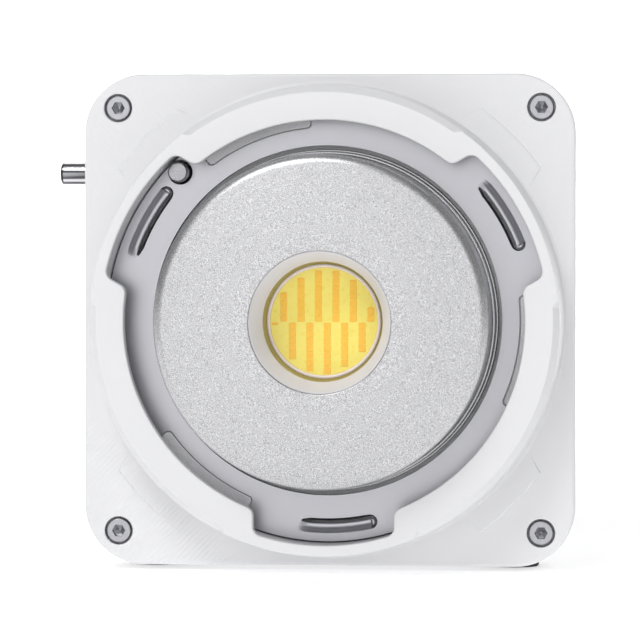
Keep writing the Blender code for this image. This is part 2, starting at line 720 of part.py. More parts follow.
# How far from the axis a tool that goes through the shell's wall starts and ends
WALL_INSIDE = SHELL_SIDE / 2 - SHELL_WALL - OVERLAP
WALL_OUTSIDE = SHELL_SIDE / 2 + OVERLAP


def body_shell():
    inner_side = SHELL_SIDE - 2 * SHELL_WALL
    loops = [
        rounded_rectangle(SHELL_SIDE, SHELL_SIDE, SHELL_CORNER),
        rounded_rectangle(inner_side, inner_side, SHELL_CORNER - SHELL_WALL),
    ]
    shell = prism("body_shell", loops, SHELL_BACK, SHELL_FRONT)
    front_hole = SHELL_FRONT - SCREW_POST_DEPTH, SHELL_FRONT + OVERLAP
    back_hole = SHELL_BACK - OVERLAP, SHELL_BACK + SCREW_POST_DEPTH
    for name, (side_x, side_y) in CORNERS.items():
        place = (side_x * SCREW_OFFSET, side_y * SCREW_OFFSET, 0.0)
        post = cylinder("screw_post_" + name, SCREW_POST_R, SHELL_BACK, SHELL_FRONT, TINY_STEPS, place)
        join(shell, post)
        cut(
            shell,
            cylinder("post_front_" + name, SCREW_CLEAR_R, *front_hole, TINY_STEPS, place),
            cylinder("post_back_" + name, SCREW_CLEAR_R, *back_hole, TINY_STEPS, place),
        )
    cut(shell, rod_slot(), *side_vents(), *top_vents(), base_hole())
    finish(shell, "white_paint")


def rod_slot():
    half = ROD_R + GAP
    low = (-WALL_OUTSIDE, PIN_Y - half, ROD_Z - PIN_TRAVEL - half)
    return box("rod_slot", low, (-WALL_INSIDE, PIN_Y + half, ROD_Z + half))


def side_vents():
    """Slanted slots through the left and right walls."""
    slots = []
    spin = Matrix.Rotation(math.radians(VENT_SLANT), 4, "X")
    for side in (-1, 1):
        left, right = sorted((side * WALL_INSIDE, side * WALL_OUTSIDE))
        low = (left, -VENT_LENGTH / 2, -VENT_WIDTH / 2)
        high = (right, VENT_LENGTH / 2, VENT_WIDTH / 2)
        for i in range(VENT_COUNT):
            depth = VENT_MIDDLE_Z + (i - (VENT_COUNT - 1) / 2) * VENT_PITCH
            slots.append(box(f"vent_{side}_{i}", low, high, (0.0, VENT_MIDDLE_Y, depth), spin))
    return slots


def top_vents():
    """Straight slots across the top wall, above the fan."""
    slots = []
    for i in range(-TOP_VENTS_EACH_SIDE, TOP_VENTS_EACH_SIDE + 1):
        depth = VENT_MIDDLE_Z + i * VENT_PITCH
        low = (-VENT_LENGTH / 2, WALL_INSIDE, depth - VENT_WIDTH / 2)
        high = (VENT_LENGTH / 2, WALL_OUTSIDE, depth + VENT_WIDTH / 2)
        slots.append(box(f"top_vent_{i}", low, high))
    return slots


def base_hole():
    half_x, half_y = BOSS_SIZE[0] / 2 + GAP, BOSS_SIZE[1] / 2 + GAP
    bottom = -SHELL_SIDE / 2
    low = (-half_x, bottom - OVERLAP, PLATE_FACE_Y - half_y)
    return box("base_hole", low, (half_x, bottom + SHELL_WALL + OVERLAP, PLATE_FACE_Y + half_y))


def rear_cover():
    outline = rounded_rectangle(SHELL_SIDE, SHELL_SIDE, SHELL_CORNER)
    cover = prism("rear_cover", [outline], REAR_BACK, REAR_FRONT)
    beyond, through = REAR_BACK - OVERLAP, REAR_FRONT + OVERLAP
    width, height = WINDOW_SIZE
    recess_depth, window_ledge = 1.5, 2.0
    panel = rounded_rectangle(PANEL_SIDE, PANEL_SIDE, PANEL_CORNER, 4)
    recess = rounded_rectangle(width + 2 * GAP, height + 2 * GAP, WINDOW_CORNER + GAP, 4)
    opening = rounded_rectangle(width - 2 * window_ledge, height - 2 * window_ledge, 2.0, 3)
    rocker_hole, port_hole = rounded_rectangle(13.6, 19.6, 0.5, 1), rounded_rectangle(9.6, 3.8, 1.8, 3)
    window_place, inlet_place = (0.0, WINDOW_Y, 0.0), (INLET_X, INLET_Y, 0.0)
    inlet_hole_r, knob_hole_r = 9.1, 3.7
    cut(
        cover,
        prism("panel_pocket", [panel], beyond, REAR_PANEL),
        prism("window_recess", [recess], beyond, REAR_PANEL + recess_depth, window_place),
        prism("window_opening", [opening], beyond, through, window_place),
        cylinder("inlet_hole", inlet_hole_r, beyond, through, SMALL_STEPS, inlet_place),
        prism("rocker_hole", [rocker_hole], beyond, through, (ROCKER_X, ROCKER_Y, 0.0)),
        prism("port_hole", [port_hole], beyond, through, (0.0, PORT_Y, 0.0)),
    )
    for side in (-1, 1):
        place = (side * KNOB_X, KNOB_Y, 0.0)
        cut(cover, cylinder(f"knob_hole_{side}", knob_hole_r, beyond, through, TINY_STEPS, place))
    for i in (-1, 0, 1):
        place = (i * BUTTON_PITCH, BUTTON_Y, 0.0)
        cut(cover, cylinder(f"button_hole_{i}", BUTTON_R + GAP, beyond, through, SMALL_STEPS, place))
    floor = REAR_BACK + SCREW_SEAT
    hole = (
        (0.0, through),
        (SCREW_CLEAR_R, through),
        (SCREW_CLEAR_R, floor),
        (REAR_COUNTERBORE_R, floor),
        (REAR_COUNTERBORE_R, beyond),
        (0.0, beyond),
    )
    post_low, post_top = REAR_FRONT - OVERLAP, DRIVER_BOARD_FACE - BOARD_THICKNESS - GAP
    for name, (side_x, side_y) in CORNERS.items():
        place = (side_x * SCREW_OFFSET, side_y * SCREW_OFFSET, 0.0)
        cut(cover, turned("rear_screw_hole_" + name, hole, TINY_STEPS, place))
    for name, (side_x, side_y) in CORNERS.items():
        place = (side_x * BOARD_POST_X, side_y * BOARD_POST_Y, 0.0)
        join(cover, cylinder("board_post_" + name, BOARD_POST_R, post_low, post_top, TINY_STEPS, place))
    finish(cover, "white_paint")


# Controls


def knob_set(name, side):
    """Encoder, its rotor ring, and the knob whose shaft slides through the rotor."""
    place = (side * KNOB_X, KNOB_Y, 0.0)
    front, back = CONTROL_BOARD_FACE - BOARD_THICKNESS - GAP, REAR_FRONT + 0.4
    encoder = box(name + "_encoder", (-6.5, -6.0, back), (6.5, 6.0, front), place)
    pocket_floor, rotor_r, shaft_r = back + 3.0, 4.2, 2.3
    bore_end = front - 0.8
    cut(
        encoder,
        cylinder(name + "_pocket", rotor_r + GAP, back - OVERLAP, pocket_floor, SMALL_STEPS, place),
        cylinder(name + "_bore", shaft_r + 0.4, back - OVERLAP, bore_end, TINY_STEPS, place),
    )
    finish(encoder, "satin_steel")

    low, high, hole = back + 0.3, pocket_floor - GAP, shaft_r + GAP
    ring = ((hole, high), (rotor_r, high), (rotor_r, low), (hole, low))
    finish(turned(name + "_encoder_rotor", ring, SMALL_STEPS, place, closed=True), "dark_plastic")

    skirt, skirt_r, top_r, top_chamfer = REAR_PANEL - 1.2, KNOB_R + 0.6, KNOB_R - 0.3, 1.0
    shaft_end = bore_end - KNOB_TRAVEL - 0.4
    knob = (
        (0.0, shaft_end),
        (shaft_r, shaft_end),
        (shaft_r, skirt),
        (skirt_r, skirt),
        (skirt_r, skirt - 1.6),
        (KNOB_R, skirt - 2.2),
        (top_r, KNOB_FACE + top_chamfer),
        (top_r - top_chamfer, KNOB_FACE),
        (0.0, KNOB_FACE),
    )
    finish(turned(name + "_knob", knob, SMALL_STEPS, place), "dark_plastic")


def push_button(name, index):
    cap_face, flange_back, flange_front = REAR_PANEL - 2.0, REAR_FRONT + GAP, REAR_FRONT + 1.2
    flange_r, edge_chamfer = BUTTON_R + 1.0, 0.5
    profile = (
        (0.0, flange_front),
        (flange_r, flange_front),
        (flange_r, flange_back),
        (BUTTON_R, flange_back),
        (BUTTON_R, cap_face + edge_chamfer),
        (BUTTON_R - edge_chamfer, cap_face),
        (0.0, cap_face),
    )
    finish(turned(name, profile, TINY_STEPS, (index * BUTTON_PITCH, BUTTON_Y, 0.0)), "dark_plastic")


def power_rocker():
    """A rocker with a dished face whose round ends turn about its pivot, and the housing it sits in."""
    width, end_r, dish, floor, tip_turn = 11.0, 8.6, 2.6, -4.5, 28.0
    low_turn = math.degrees(math.asin(floor / end_r))
    right_end = arc(end_r, tip_turn, low_turn, 6)
    left_end = arc(end_r, 180.0 - low_turn, 180.0 - tip_turn, 6)
    outline = [(0.0, dish), *right_end, *left_end]
    place = (ROCKER_X, ROCKER_Y, ROCKER_PIVOT_Z)
    rocker = prism("power_rocker", [outline], -width / 2, width / 2, place)
    # The outline's x runs along the head's y, its y along -z (out of the rear), and its thickness along x.
    rocker.rotation_euler = Matrix(((0, 0, -1), (1, 0, 0), (0, -1, 0))).to_euler()
    rocker.rotation_euler.rotate_axis("Z", math.radians(-ROCKER_TILT))
    finish(rocker, "dark_plastic")

    rim_back, body_front = REAR_PANEL - 0.9, -110.6
    place = (ROCKER_X, ROCKER_Y, 0.0)
    rim = rounded_rectangle(15.6, 21.6, 1.5, 3)
    housing = prism("rocker_housing", [rim], rim_back, REAR_PANEL - GAP, place)
    join(housing, box("rocker_body", (-6.5, -9.5, REAR_PANEL - 0.6), (6.5, 9.5, body_front), place))
    room_x, room_y = width / 2 + GAP, end_r + 0.4
    room_floor = ROCKER_PIVOT_Z + end_r * 0.72
    room = box("rocker_room", (-room_x, -room_y, rim_back - OVERLAP), (room_x, room_y, room_floor), place)
    cut(housing, room)
    finish(housing, "dark_plastic")


def power_inlet():
    place = (INLET_X, INLET_Y, 0.0)
    flange_back, flange_front = REAR_PANEL - 1.6, REAR_PANEL - GAP
    flange_r, outer_r, inner_r, end, end_wall = 11.5, 8.8, 7.2, -108.0, 2.0
    profile = (
        (0.0, end),
        (outer_r, end),
        (outer_r, flange_front),
        (flange_r, flange_front),
        (flange_r, flange_back),
        (inner_r, flange_back),
        (inner_r, end - end_wall),
        (0.0, end - end_wall),
    )
    finish(turned("power_inlet_shell", profile, SMALL_STEPS, place), "satin_steel")
    floor = end - end_wall - GAP
    insert = cylinder("power_inlet_insert", inner_r - GAP, floor - 1.4, floor, SMALL_STEPS, place)
    pin_r, pin_length, pin_circle_r = 0.9, 7.0, 3.6
    for i, (x, y) in enumerate(circle(pin_circle_r, 4)):
        pin_place = (INLET_X + x, INLET_Y + y, 0.0)
        join(insert, cylinder(f"inlet_pin_{i}", pin_r, floor - pin_length, floor - 1.0, 8, pin_place))
    finish(insert, "dark_plastic")


def data_port():
    place = (0.0, PORT_Y, 0.0)
    back, front = REAR_PANEL - 0.2, -112.0
    end_wall = 1.0
    port = prism("data_port", [rounded_rectangle(8.9, 3.2, 1.55, 4)], back, front, place)
    room = rounded_rectangle(8.3, 2.6, 1.25, 4)
    cut(port, prism("port_room", [room], back - OVERLAP, front - end_wall, place))
    join(port, box("port_tongue", (-3.3, -0.35, back + 1.0), (3.3, 0.35, front - 0.5), place))
    finish(port, "satin_steel")


# Base


def base_plate():
    """The tripod plate: a flange under the shell and a boss inside it that holds the two sockets."""
    width, depth = BASE_SIZE
    bottom = -AXIS_HEIGHT
    flange_top = bottom + BASE_PROUD - GAP
    place = (0.0, 0.0, PLATE_FACE_Y)
    low, high = (-width / 2, bottom, -depth / 2), (width / 2, flange_top, depth / 2)
    plate = box("base_plate", low, high, place)
    half_x, half_y = BOSS_SIZE[0] / 2, BOSS_SIZE[1] / 2
    boss_top = bottom + BOSS_TOP
    join(plate, box("boss", (-half_x, bottom + 0.5, -half_y), (half_x, boss_top, half_y), place))
    for name, radius, y in (("large", LARGE_SOCKET_R, -SOCKET_Y), ("small", SMALL_SOCKET_R, SOCKET_Y)):
        socket_place = (0.0, bottom, PLATE_FACE_Y - y)
        socket = cylinder(name + "_socket", radius, -OVERLAP, SOCKET_DEPTH, SMALL_STEPS, socket_place)
        socket.rotation_euler = (-math.pi / 2, 0.0, 0.0)
        cut(plate, socket)
    finish(plate, "aluminium")


def rubber_feet():
    top = BASE_PROUD - GAP
    for row, y in (("front", FOOT_FRONT_Y), ("back", FOOT_BACK_Y)):
        for side, x in (("left", -FOOT_X), ("right", FOOT_X)):
            profile = ((0.0, top), (FOOT_R, top), (FOOT_R - 0.4, 0.0), (0.0, 0.0))
            place = (x, -AXIS_HEIGHT, PLATE_FACE_Y - y)
            foot = turned(f"rubber_foot_{row}_{side}", profile, SMALL_STEPS, place)
            foot.rotation_euler = (-math.pi / 2, 0.0, 0.0)
            finish(foot, "rubber")


front_bezel()
mount_spring_plate()
mount_backing_ring()
lock_pin()
release_rod()
lock_pin_housing()
lock_pin_spring()
dome_cover()
reflector_cone()
led_stack()
heat_column()
heat_pipes()
heatsink()
fan()
driver_board()
control_board()
display()
body_shell()
rear_cover()
knob_set("intensity", -1)
knob_set("colour_temperature", 1)
for button_index, button_name in enumerate(("mode_button", "channel_button", "effects_button")):
    push_button(button_name, button_index - 1)
power_rocker()
power_inlet()
data_port()
base_plate()
rubber_feet()
for corner_name, (corner_x, corner_y) in CORNERS.items():
    corner = (corner_x * SCREW_OFFSET, corner_y * SCREW_OFFSET)
    cap_screw("front_screw_" + corner_name, (*corner, -SCREW_SEAT + GAP), 1)
    cap_screw("rear_screw_" + corner_name, (*corner, REAR_BACK + SCREW_SEAT - GAP), -1)
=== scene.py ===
"""The looks of the open-face COB LED spotlight head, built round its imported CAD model.

Lengths are millimetres in the head's own frame: +x to the right, +y up and +z out of the front plate, with
z = 0 on the plate's face and x = y = 0 on the optical axis. TO_WORLD turns them into the shared frame's
metres.
"""

import json
import math

import bmesh
import bpy
from mathutils import Matrix, Vector


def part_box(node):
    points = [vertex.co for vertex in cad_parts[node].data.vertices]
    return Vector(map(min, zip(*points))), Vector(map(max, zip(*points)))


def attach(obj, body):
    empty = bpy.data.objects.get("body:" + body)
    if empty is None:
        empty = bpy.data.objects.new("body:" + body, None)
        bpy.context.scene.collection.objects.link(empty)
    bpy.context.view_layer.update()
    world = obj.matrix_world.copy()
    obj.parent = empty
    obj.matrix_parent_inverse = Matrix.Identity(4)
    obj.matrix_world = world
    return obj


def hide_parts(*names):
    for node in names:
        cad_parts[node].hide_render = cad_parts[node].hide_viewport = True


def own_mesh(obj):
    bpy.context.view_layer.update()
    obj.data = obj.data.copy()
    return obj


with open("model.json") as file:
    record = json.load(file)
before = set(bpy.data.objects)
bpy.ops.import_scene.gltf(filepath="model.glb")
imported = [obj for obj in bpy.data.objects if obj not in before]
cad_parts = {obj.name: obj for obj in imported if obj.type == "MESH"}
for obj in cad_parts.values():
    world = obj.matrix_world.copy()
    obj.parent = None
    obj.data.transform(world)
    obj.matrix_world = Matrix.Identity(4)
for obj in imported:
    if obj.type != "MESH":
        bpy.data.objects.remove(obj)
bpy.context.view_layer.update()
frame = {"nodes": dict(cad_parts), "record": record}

MM = 0.001
bezel_low, bezel_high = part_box("front_bezel")
PLATE_THICKNESS = 8.0
AXIS_HEIGHT = (bezel_low.z + bezel_high.z) / 2
PLATE_FACE_Y = bezel_high.y - PLATE_THICKNESS * MM
TO_WORLD = (
    Matrix.Translation((0.0, PLATE_FACE_Y, AXIS_HEIGHT))
    @ Matrix.Rotation(math.pi / 2, 4, "X")
    @ Matrix.Scale(MM, 4)
)

BODY_SIDE = (bezel_high.x - bezel_low.x) / MM
BODY_CORNER = 15.0
COLLAR_HEIGHT = (PLATE_FACE_Y - bezel_low.y) / MM
LIP_R, NOTCH_R, BORE_R, BORE_FLOOR = 49.7, 55.4, 55.6, -4.3
LIP_THICKNESS, NOTCH_HALF_WIDTH, NOTCH_FILLET = 3.5, 17.5, 2.5
NOTCH_ANGLES = (30.0, 150.0, 270.0)
SCREW_OFFSET = 53.2
HEAD = "light_head"
PIN_X, PIN_Y = -36.9, 37.0

SCREW_SHANK_HOLE_R = 1.8
FRONT_SCREW_FLOOR, REAR_SCREW_FLOOR, SCREW_LIFT = -3.4, 118.6, 0.3

# Sectors of the collar's outer edge that are chamfered, and how fast they end, in degrees
CHAMFER_SECTORS = ((54.0, 127.0), (175.0, 245.0), (293.0, 365.0))
CHAMFER_RUN_OUT = 1.4


# Outlines and solids, as (points, faces)


def polar(radius, degrees, centre=(0.0, 0.0)):
    angle = math.radians(degrees)
    return centre[0] + radius * math.cos(angle), centre[1] + radius * math.sin(angle)


def arc(radius, start, end, steps, centre=(0.0, 0.0)):
    return [polar(radius, start + (end - start) * i / steps, centre) for i in range(steps + 1)]


def circle(radius, steps, centre=(0.0, 0.0)):
    return arc(radius, 0.0, 360.0, steps, centre)[:-1]


def rounded_rectangle(width, height, corner, steps=12, centre=(0.0, 0.0)):
    points = []
    for quarter, (side_x, side_y) in enumerate(((1, 1), (-1, 1), (-1, -1), (1, -1))):
        middle = (
            centre[0] + side_x * (width / 2 - corner),
            centre[1] + side_y * (height / 2 - corner),
        )
        points += arc(corner, 90.0 * quarter, 90.0 * (quarter + 1), steps, middle)
    return points


def turn(points, degrees):
    c, s = math.cos(math.radians(degrees)), math.sin(math.radians(degrees))
    return [(c * x - s * y, s * x + c * y) for x, y in points]


def loft(rings, loop=False):
    """Skins rings of equal length. Its ends are capped, unless it loops back to its first ring."""
    count = len(rings[0])
    points = [point for ring in rings for point in ring]
    faces = []
    for r in range(len(rings) - (0 if loop else 1)):
        near, far = r * count, (r + 1) % len(rings) * count
        for i in range(count):
            j = (i + 1) % count
            faces.append((near + i, near + j, far + j, far + i))
    if not loop:
        faces.append(tuple(reversed(range(count))))
        faces.append(tuple(range(len(points) - count, len(points))))
    return points, faces


def stacked(*levels, loop=False):
    """A loft of flat outlines, given as (outline, height) pairs."""
    return loft([[(x, y, z) for x, y in outline] for outline, z in levels], loop)


def merged(*shapes):
    points, faces = [], []
    for more_points, more_faces in shapes:
        faces += [tuple(len(points) + i for i in face) for face in more_faces]
        points += more_points
    return points, faces


def moved(shape, matrix):
    return [tuple(matrix @ Vector(point)) for point in shape[0]], shape[1]


def lathe(profile, steps, centre=(0.0, 0.0), loop=False):
    """Turns (radius, z) points about a line along z."""
    smallest = 0.001
    return stacked(*[(circle(max(r, smallest), steps, centre), z) for r, z in profile], loop=loop)


def rounded_edge(radius, steps):
    """Pairs that climb a rounded edge: how far it has drawn in, and how far it lies from its top."""
    angles = [math.pi / 2 * i / steps for i in range(steps + 1)]
    return [(radius * (1 - math.cos(angle)), radius * math.sin(angle) - radius) for angle in angles]


def filleted(outline_of, low, high, fillet, steps=4, low_fillet=0.2):
    """An outline drawn up from low to high with rounded edges. outline_of(inset) shrinks it by inset."""
    edge = [(outline_of(inset), high + rise) for inset, rise in rounded_edge(fillet, steps)]
    return stacked((outline_of(low_fillet), low), (outline_of(0.0), low + low_fillet), *edge)


def flared(outline_of, low, high, flare, steps=3):
    """A cutter for a hole whose mouth, at high, is rounded by flare. outline_of(-grow) gives it wider."""
    over = 1.0
    mouth = [(outline_of(-grow), high + rise) for grow, rise in rounded_edge(flare, steps)]
    return stacked((outline_of(0.0), low), *mouth, (outline_of(-flare), high + over))


def round_outline(radius, steps, centre=(0.0, 0.0)):
    return lambda inset: circle(radius - inset, steps, centre)


def rectangle_outline(width, height, corner, steps=8, centre=(0.0, 0.0)):
    return lambda inset: rounded_rectangle(
        width - 2 * inset, height - 2 * inset, corner - inset, steps, centre
    )


def backwards(shape):
    """The shape seen from behind: z becomes -z, for what faces the rear."""
    return moved(shape, Matrix.Scale(-1.0, 4, (0.0, 0.0, 1.0)))


# Objects


def add_object(name, data):
    made = bpy.data.objects.new(name, data)
    bpy.context.scene.collection.objects.link(made)
    return made


def evaluated_mesh(obj):
    graph = bpy.context.evaluated_depsgraph_get()
    return bpy.data.meshes.new_from_object(obj.evaluated_get(graph))


def new_object(name, shape, matrix=TO_WORLD):
    mesh = bpy.data.meshes.new(name)
    mesh.from_pydata(shape[0], [], shape[1])
    mesh.transform(matrix)
    face_out(mesh)
    return add_object(name, mesh)


def face_out(mesh):
    solid = bmesh.new()
    solid.from_mesh(mesh)
    bmesh.ops.remove_doubles(solid, verts=solid.verts, dist=1e-7)
    bmesh.ops.recalc_face_normals(solid, faces=solid.faces)
    solid.to_mesh(mesh)
    solid.free()


def curve_mesh(name, dimensions, paths, closed, **settings):
    """The mesh of a curve that runs straight from point to point of each path."""
    curve = bpy.data.curves.new(name, "CURVE")
    curve.dimensions = dimensions
    for setting, value in settings.items():
        setattr(curve, setting, value)
    for path in paths:
        spline = curve.splines.new("POLY")
        spline.points.add(len(path) - 1)
        for point, position in zip(spline.points, path):
            point.co = (*position, 1.0)
        spline.use_cyclic_u = closed
    guide = add_object(name, curve)
    mesh = evaluated_mesh(guide)
    bpy.data.objects.remove(guide)
    bpy.data.curves.remove(curve)
    return mesh


def prism(name, loops, low, high):
    """Flat outlines, the first the rim and the others holes, drawn out from low to high."""
    paths = [[(x, y, 0.0) for x, y in loop] for loop in loops]
    mesh = curve_mesh(name, "2D", paths, True, fill_mode="BOTH", extrude=(high - low) / 2)
    mesh.transform(TO_WORLD @ Matrix.Translation((0.0, 0.0, (low + high) / 2)))
    face_out(mesh)
    return add_object(name, mesh)


def bake_modifiers(obj):
    mesh = evaluated_mesh(obj)
    obj.modifiers.clear()
    old = obj.data
    obj.data = mesh
    bpy.data.meshes.remove(old)


def combine(obj, shape, operation="DIFFERENCE", matrix=TO_WORLD):
    """A Boolean with a throwaway solid, applied at once."""
    other = new_object("tool", shape, matrix)
    modifier = obj.modifiers.new("combine", "BOOLEAN")
    modifier.operation = operation
    modifier.solver = "EXACT"
    modifier.object = other
    bake_modifiers(obj)
    bpy.data.objects.remove(other)


def bevel(obj, width, segments=2, angle=35.0):
    modifier = obj.modifiers.new("bevel", "BEVEL")
    modifier.width = width * MM
    modifier.segments = segments
    modifier.limit_method = "ANGLE"
    modifier.angle_limit = math.radians(angle)


def place(obj, finish, *nodes, body=HEAD, slot=None, angle=32.0):
    """Shades and paints a piece, and ties it to its body and the CAD nodes it stands for. Its slot argument
    is not used.
    """
    obj.data.shade_smooth()
    obj.data.set_sharp_from_angle(angle=math.radians(angle))
    weighted = obj.modifiers.new("weighted", "WEIGHTED_NORMAL")
    weighted.keep_sharp = True
    obj.data.materials.clear()
    obj.data.materials.append(FINISH[finish])
    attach(obj, body)
    if nodes:
        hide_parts(*nodes)


# Materials


def new_material(name, metallic=0.0):
    """A material with its node tree and its Principled shader."""
    material = bpy.data.materials.new(name)
    material.use_nodes = True
    shader = material.node_tree.nodes["Principled BSDF"]
    shader.inputs["Metallic"].default_value = metallic
    return material, material.node_tree, shader


def feed(socket, value):
    """Links a socket to another node's output, or sets it to a number or a colour."""
    if isinstance(value, bpy.types.NodeSocket):
        socket.id_data.links.new(value, socket)
    else:
        socket.default_value = value


def object_coordinates(tree, stretch=(1.0, 1.0, 1.0)):
    mapping = tree.nodes.new("ShaderNodeMapping")
    feed(mapping.inputs["Scale"], stretch)
    feed(mapping.inputs["Vector"], tree.nodes.new("ShaderNodeTexCoord").outputs["Object"])
    return mapping.outputs["Vector"]


def separate_axes(tree):
    split = tree.nodes.new("ShaderNodeSeparateXYZ")
    feed(split.inputs["Vector"], object_coordinates(tree))
    return split.outputs


def noise(tree, size, detail=3.0, vector=None):
    """Noise whose lumps are about size millimetres across."""
    made = tree.nodes.new("ShaderNodeTexNoise")
    feed(made.inputs["Scale"], 1.0 / (size * MM))
    feed(made.inputs["Detail"], detail)
    feed(made.inputs["Vector"], vector or object_coordinates(tree))
    return made.outputs["Fac"]


def between(value, low, high, out_low, out_high):
    """Maps low to high onto out_low to out_high, and clamps to them."""
    made = value.id_data.nodes.new("ShaderNodeMapRange")
    numbers = {"From Min": low, "From Max": high, "To Min": out_low, "To Max": out_high, "Value": value}
    for name, number in numbers.items():
        feed(made.inputs[name], number)
    return made.outputs["Result"]


def mixed(factor, first, second):
    """A colour between two, each a link or three numbers. Its sockets go by number: several share a name."""
    made = factor.id_data.nodes.new("ShaderNodeMix")
    made.data_type = "RGBA"
    feed(made.inputs[0], factor)
    for socket, value in ((made.inputs[6], first), (made.inputs[7], second)):
        feed(socket, (*value, 1.0) if isinstance(value, tuple) else value)
    return made.outputs[2]


def calculated(operation, first, second=0.0):
    made = first.id_data.nodes.new("ShaderNodeMath")
    made.operation = operation
    feed(made.inputs[0], first)
    feed(made.inputs[1], second)
    return made.outputs[0]


def bumped(normal, height, depth):
    """A bump of depth millimetres on a normal socket."""
    made = normal.id_data.nodes.new("ShaderNodeBump")
    feed(made.inputs["Distance"], depth * MM)
    feed(made.inputs["Height"], height)
    feed(normal, made.outputs["Normal"])


def surface(
    name, dark, light, roughness, metallic=0.0, lump=4.0, grain=0.3, depth=0.01, stretch=None, **fixed
):
    """Drifts between two colours and two roughnesses, with a fine grain in its bump."""
    material, tree, shader = new_material(name, metallic)
    for socket, value in fixed.items():
        feed(shader.inputs[socket.replace("_", " ").title()], value)
    drift = noise(tree, lump)
    feed(shader.inputs["Base Color"], mixed(drift, dark, light))
    feed(shader.inputs["Roughness"], between(drift, 0.3, 0.7, *roughness))
    vector = object_coordinates(tree, stretch) if stretch else None
    bumped(shader.inputs["Normal"], noise(tree, grain, 2.0, vector), depth)
    return material


def painted_metal(name):
    """White powder coat."""
    dark, light = (0.77, 0.77, 0.79), (0.8, 0.8, 0.815)
    return surface(name, dark, light, (0.42, 0.5), lump=25.0, grain=0.22, depth=0.012)


def ribbed_paint(name):
    """White powder coat with fine slanting ribs that fade in towards three corners of the front plate."""
    material = painted_metal(name)
    tree = material.node_tree
    grain = tree.nodes["Principled BSDF"].inputs["Normal"].links[0].from_node
    pitch, depth = 1.1, 0.05
    fade_start, fade_end = 0.078, 0.09
    axes = separate_axes(tree)
    x = axes["X"]
    y = calculated("SUBTRACT", axes["Z"], AXIS_HEIGHT)
    height = 0.0
    for side_x, side_y, share in ((-1, -1, 1.0), (-1, 1, 0.35), (1, 1, 0.35)):
        along = calculated("MULTIPLY", x, side_x)
        up = calculated("MULTIPLY", y, side_y)
        out = calculated("ADD", along, up)
        fade = between(out, fade_start, fade_end, 0.0, share)
        across = calculated("ADD", x, calculated("MULTIPLY", y, -side_x * side_y))
        phase = calculated("MULTIPLY", across, 2 * math.pi / (pitch * math.sqrt(2) * MM))
        wave = calculated("SINE", phase)
        for inside in (fade, calculated("GREATER_THAN", along), calculated("GREATER_THAN", up)):
            wave = calculated("MULTIPLY", wave, inside)
        height = calculated("ADD", wave, height)
    bumped(grain.inputs["Normal"], height, depth)
    return material


def blasted_metal(name):
    """Aluminium blasted with beads: bright and dark specks about a fifth of a millimetre across."""
    material, tree, shader = new_material(name, 1.0)
    specks = noise(tree, 0.2, 2.0)
    fine = noise(tree, 0.1, 2.0)
    grain = calculated("ADD", specks, calculated("MULTIPLY", fine, 0.5))
    level = between(grain, 0.55, 0.95, 0.0, 1.0)
    colour = mixed(level, (0.3, 0.3, 0.32), (0.86, 0.86, 0.87))
    feed(shader.inputs["Base Color"], colour)
    feed(shader.inputs["Roughness"], between(fine, 0.3, 0.7, 0.3, 0.42))
    bumped(shader.inputs["Normal"], specks, 0.04)
    return material


def brushed_metal(name, dark, light, roughness, direction):
    """Metal with long fine strokes along one axis of the shared frame."""
    stretch = [1.0, 1.0, 1.0]
    stretch[direction] = 0.03
    return surface(name, dark, light, roughness, 1.0, lump=6.0, grain=0.25, depth=0.004, stretch=stretch)


def drawn_bar(name):
    """A bar drawn to size: dark and bright strokes along it, partly drawn marks and partly painted
    reflection, and painted shade blackening its end.
    """
    material, tree, shader = new_material(name, 1.0)
    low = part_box("release_rod")[0]
    # The strokes are partly drawn marks and partly painted reflection: their dark bands stand in for dark
    # surroundings mirrored in the bar.
    strokes = noise(tree, 1.6, 2.0, object_coordinates(tree, (0.02, 1.0, 1.0)))
    level = between(strokes, 0.42, 0.58, 0.0, 1.0)
    steel = mixed(level, (0.1, 0.1, 0.11), (0.72, 0.72, 0.74))
    # Painted shade: the last half millimetre of the bar's end is painted nearly black.
    end_x = separate_axes(tree)["X"]
    end = between(end_x, low.x + 0.5 * MM, low.x + 0.8 * MM, 0.0, 1.0)
    feed(shader.inputs["Base Color"], mixed(end, (0.015, 0.015, 0.017), steel))
    feed(shader.inputs["Roughness"], between(strokes, 0.3, 0.7, 0.16, 0.26))
    bumped(shader.inputs["Normal"], strokes, 0.02)
    return material


def display_material(name):
    """Black glass with a slightly paler screen area under it."""
    dark, light, screen = (0.01, 0.01, 0.012), (0.013, 0.013, 0.015), (0.03, 0.034, 0.04)
    material = surface(name, dark, light, (0.05, 0.08), depth=0.0005, coat_weight=0.6)
    tree = material.node_tree
    colour = tree.nodes["Principled BSDF"].inputs["Base Color"]
    glass = colour.links[0].from_socket
    low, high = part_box("display_module")
    margin = 2.0 * MM
    axes = separate_axes(tree)
    inside = 1.0
    for axis, start, end in (("X", low.x, high.x), ("Z", low.z, high.z)):
        from_middle = calculated("SUBTRACT", axes[axis], (start + end) / 2)
        offset = calculated("ABSOLUTE", from_middle)
        within = calculated("LESS_THAN", offset, (end - start) / 2 - margin)
        inside = calculated("MULTIPLY", within, inside)
    feed(colour, mixed(inside, glass, screen))
    return material


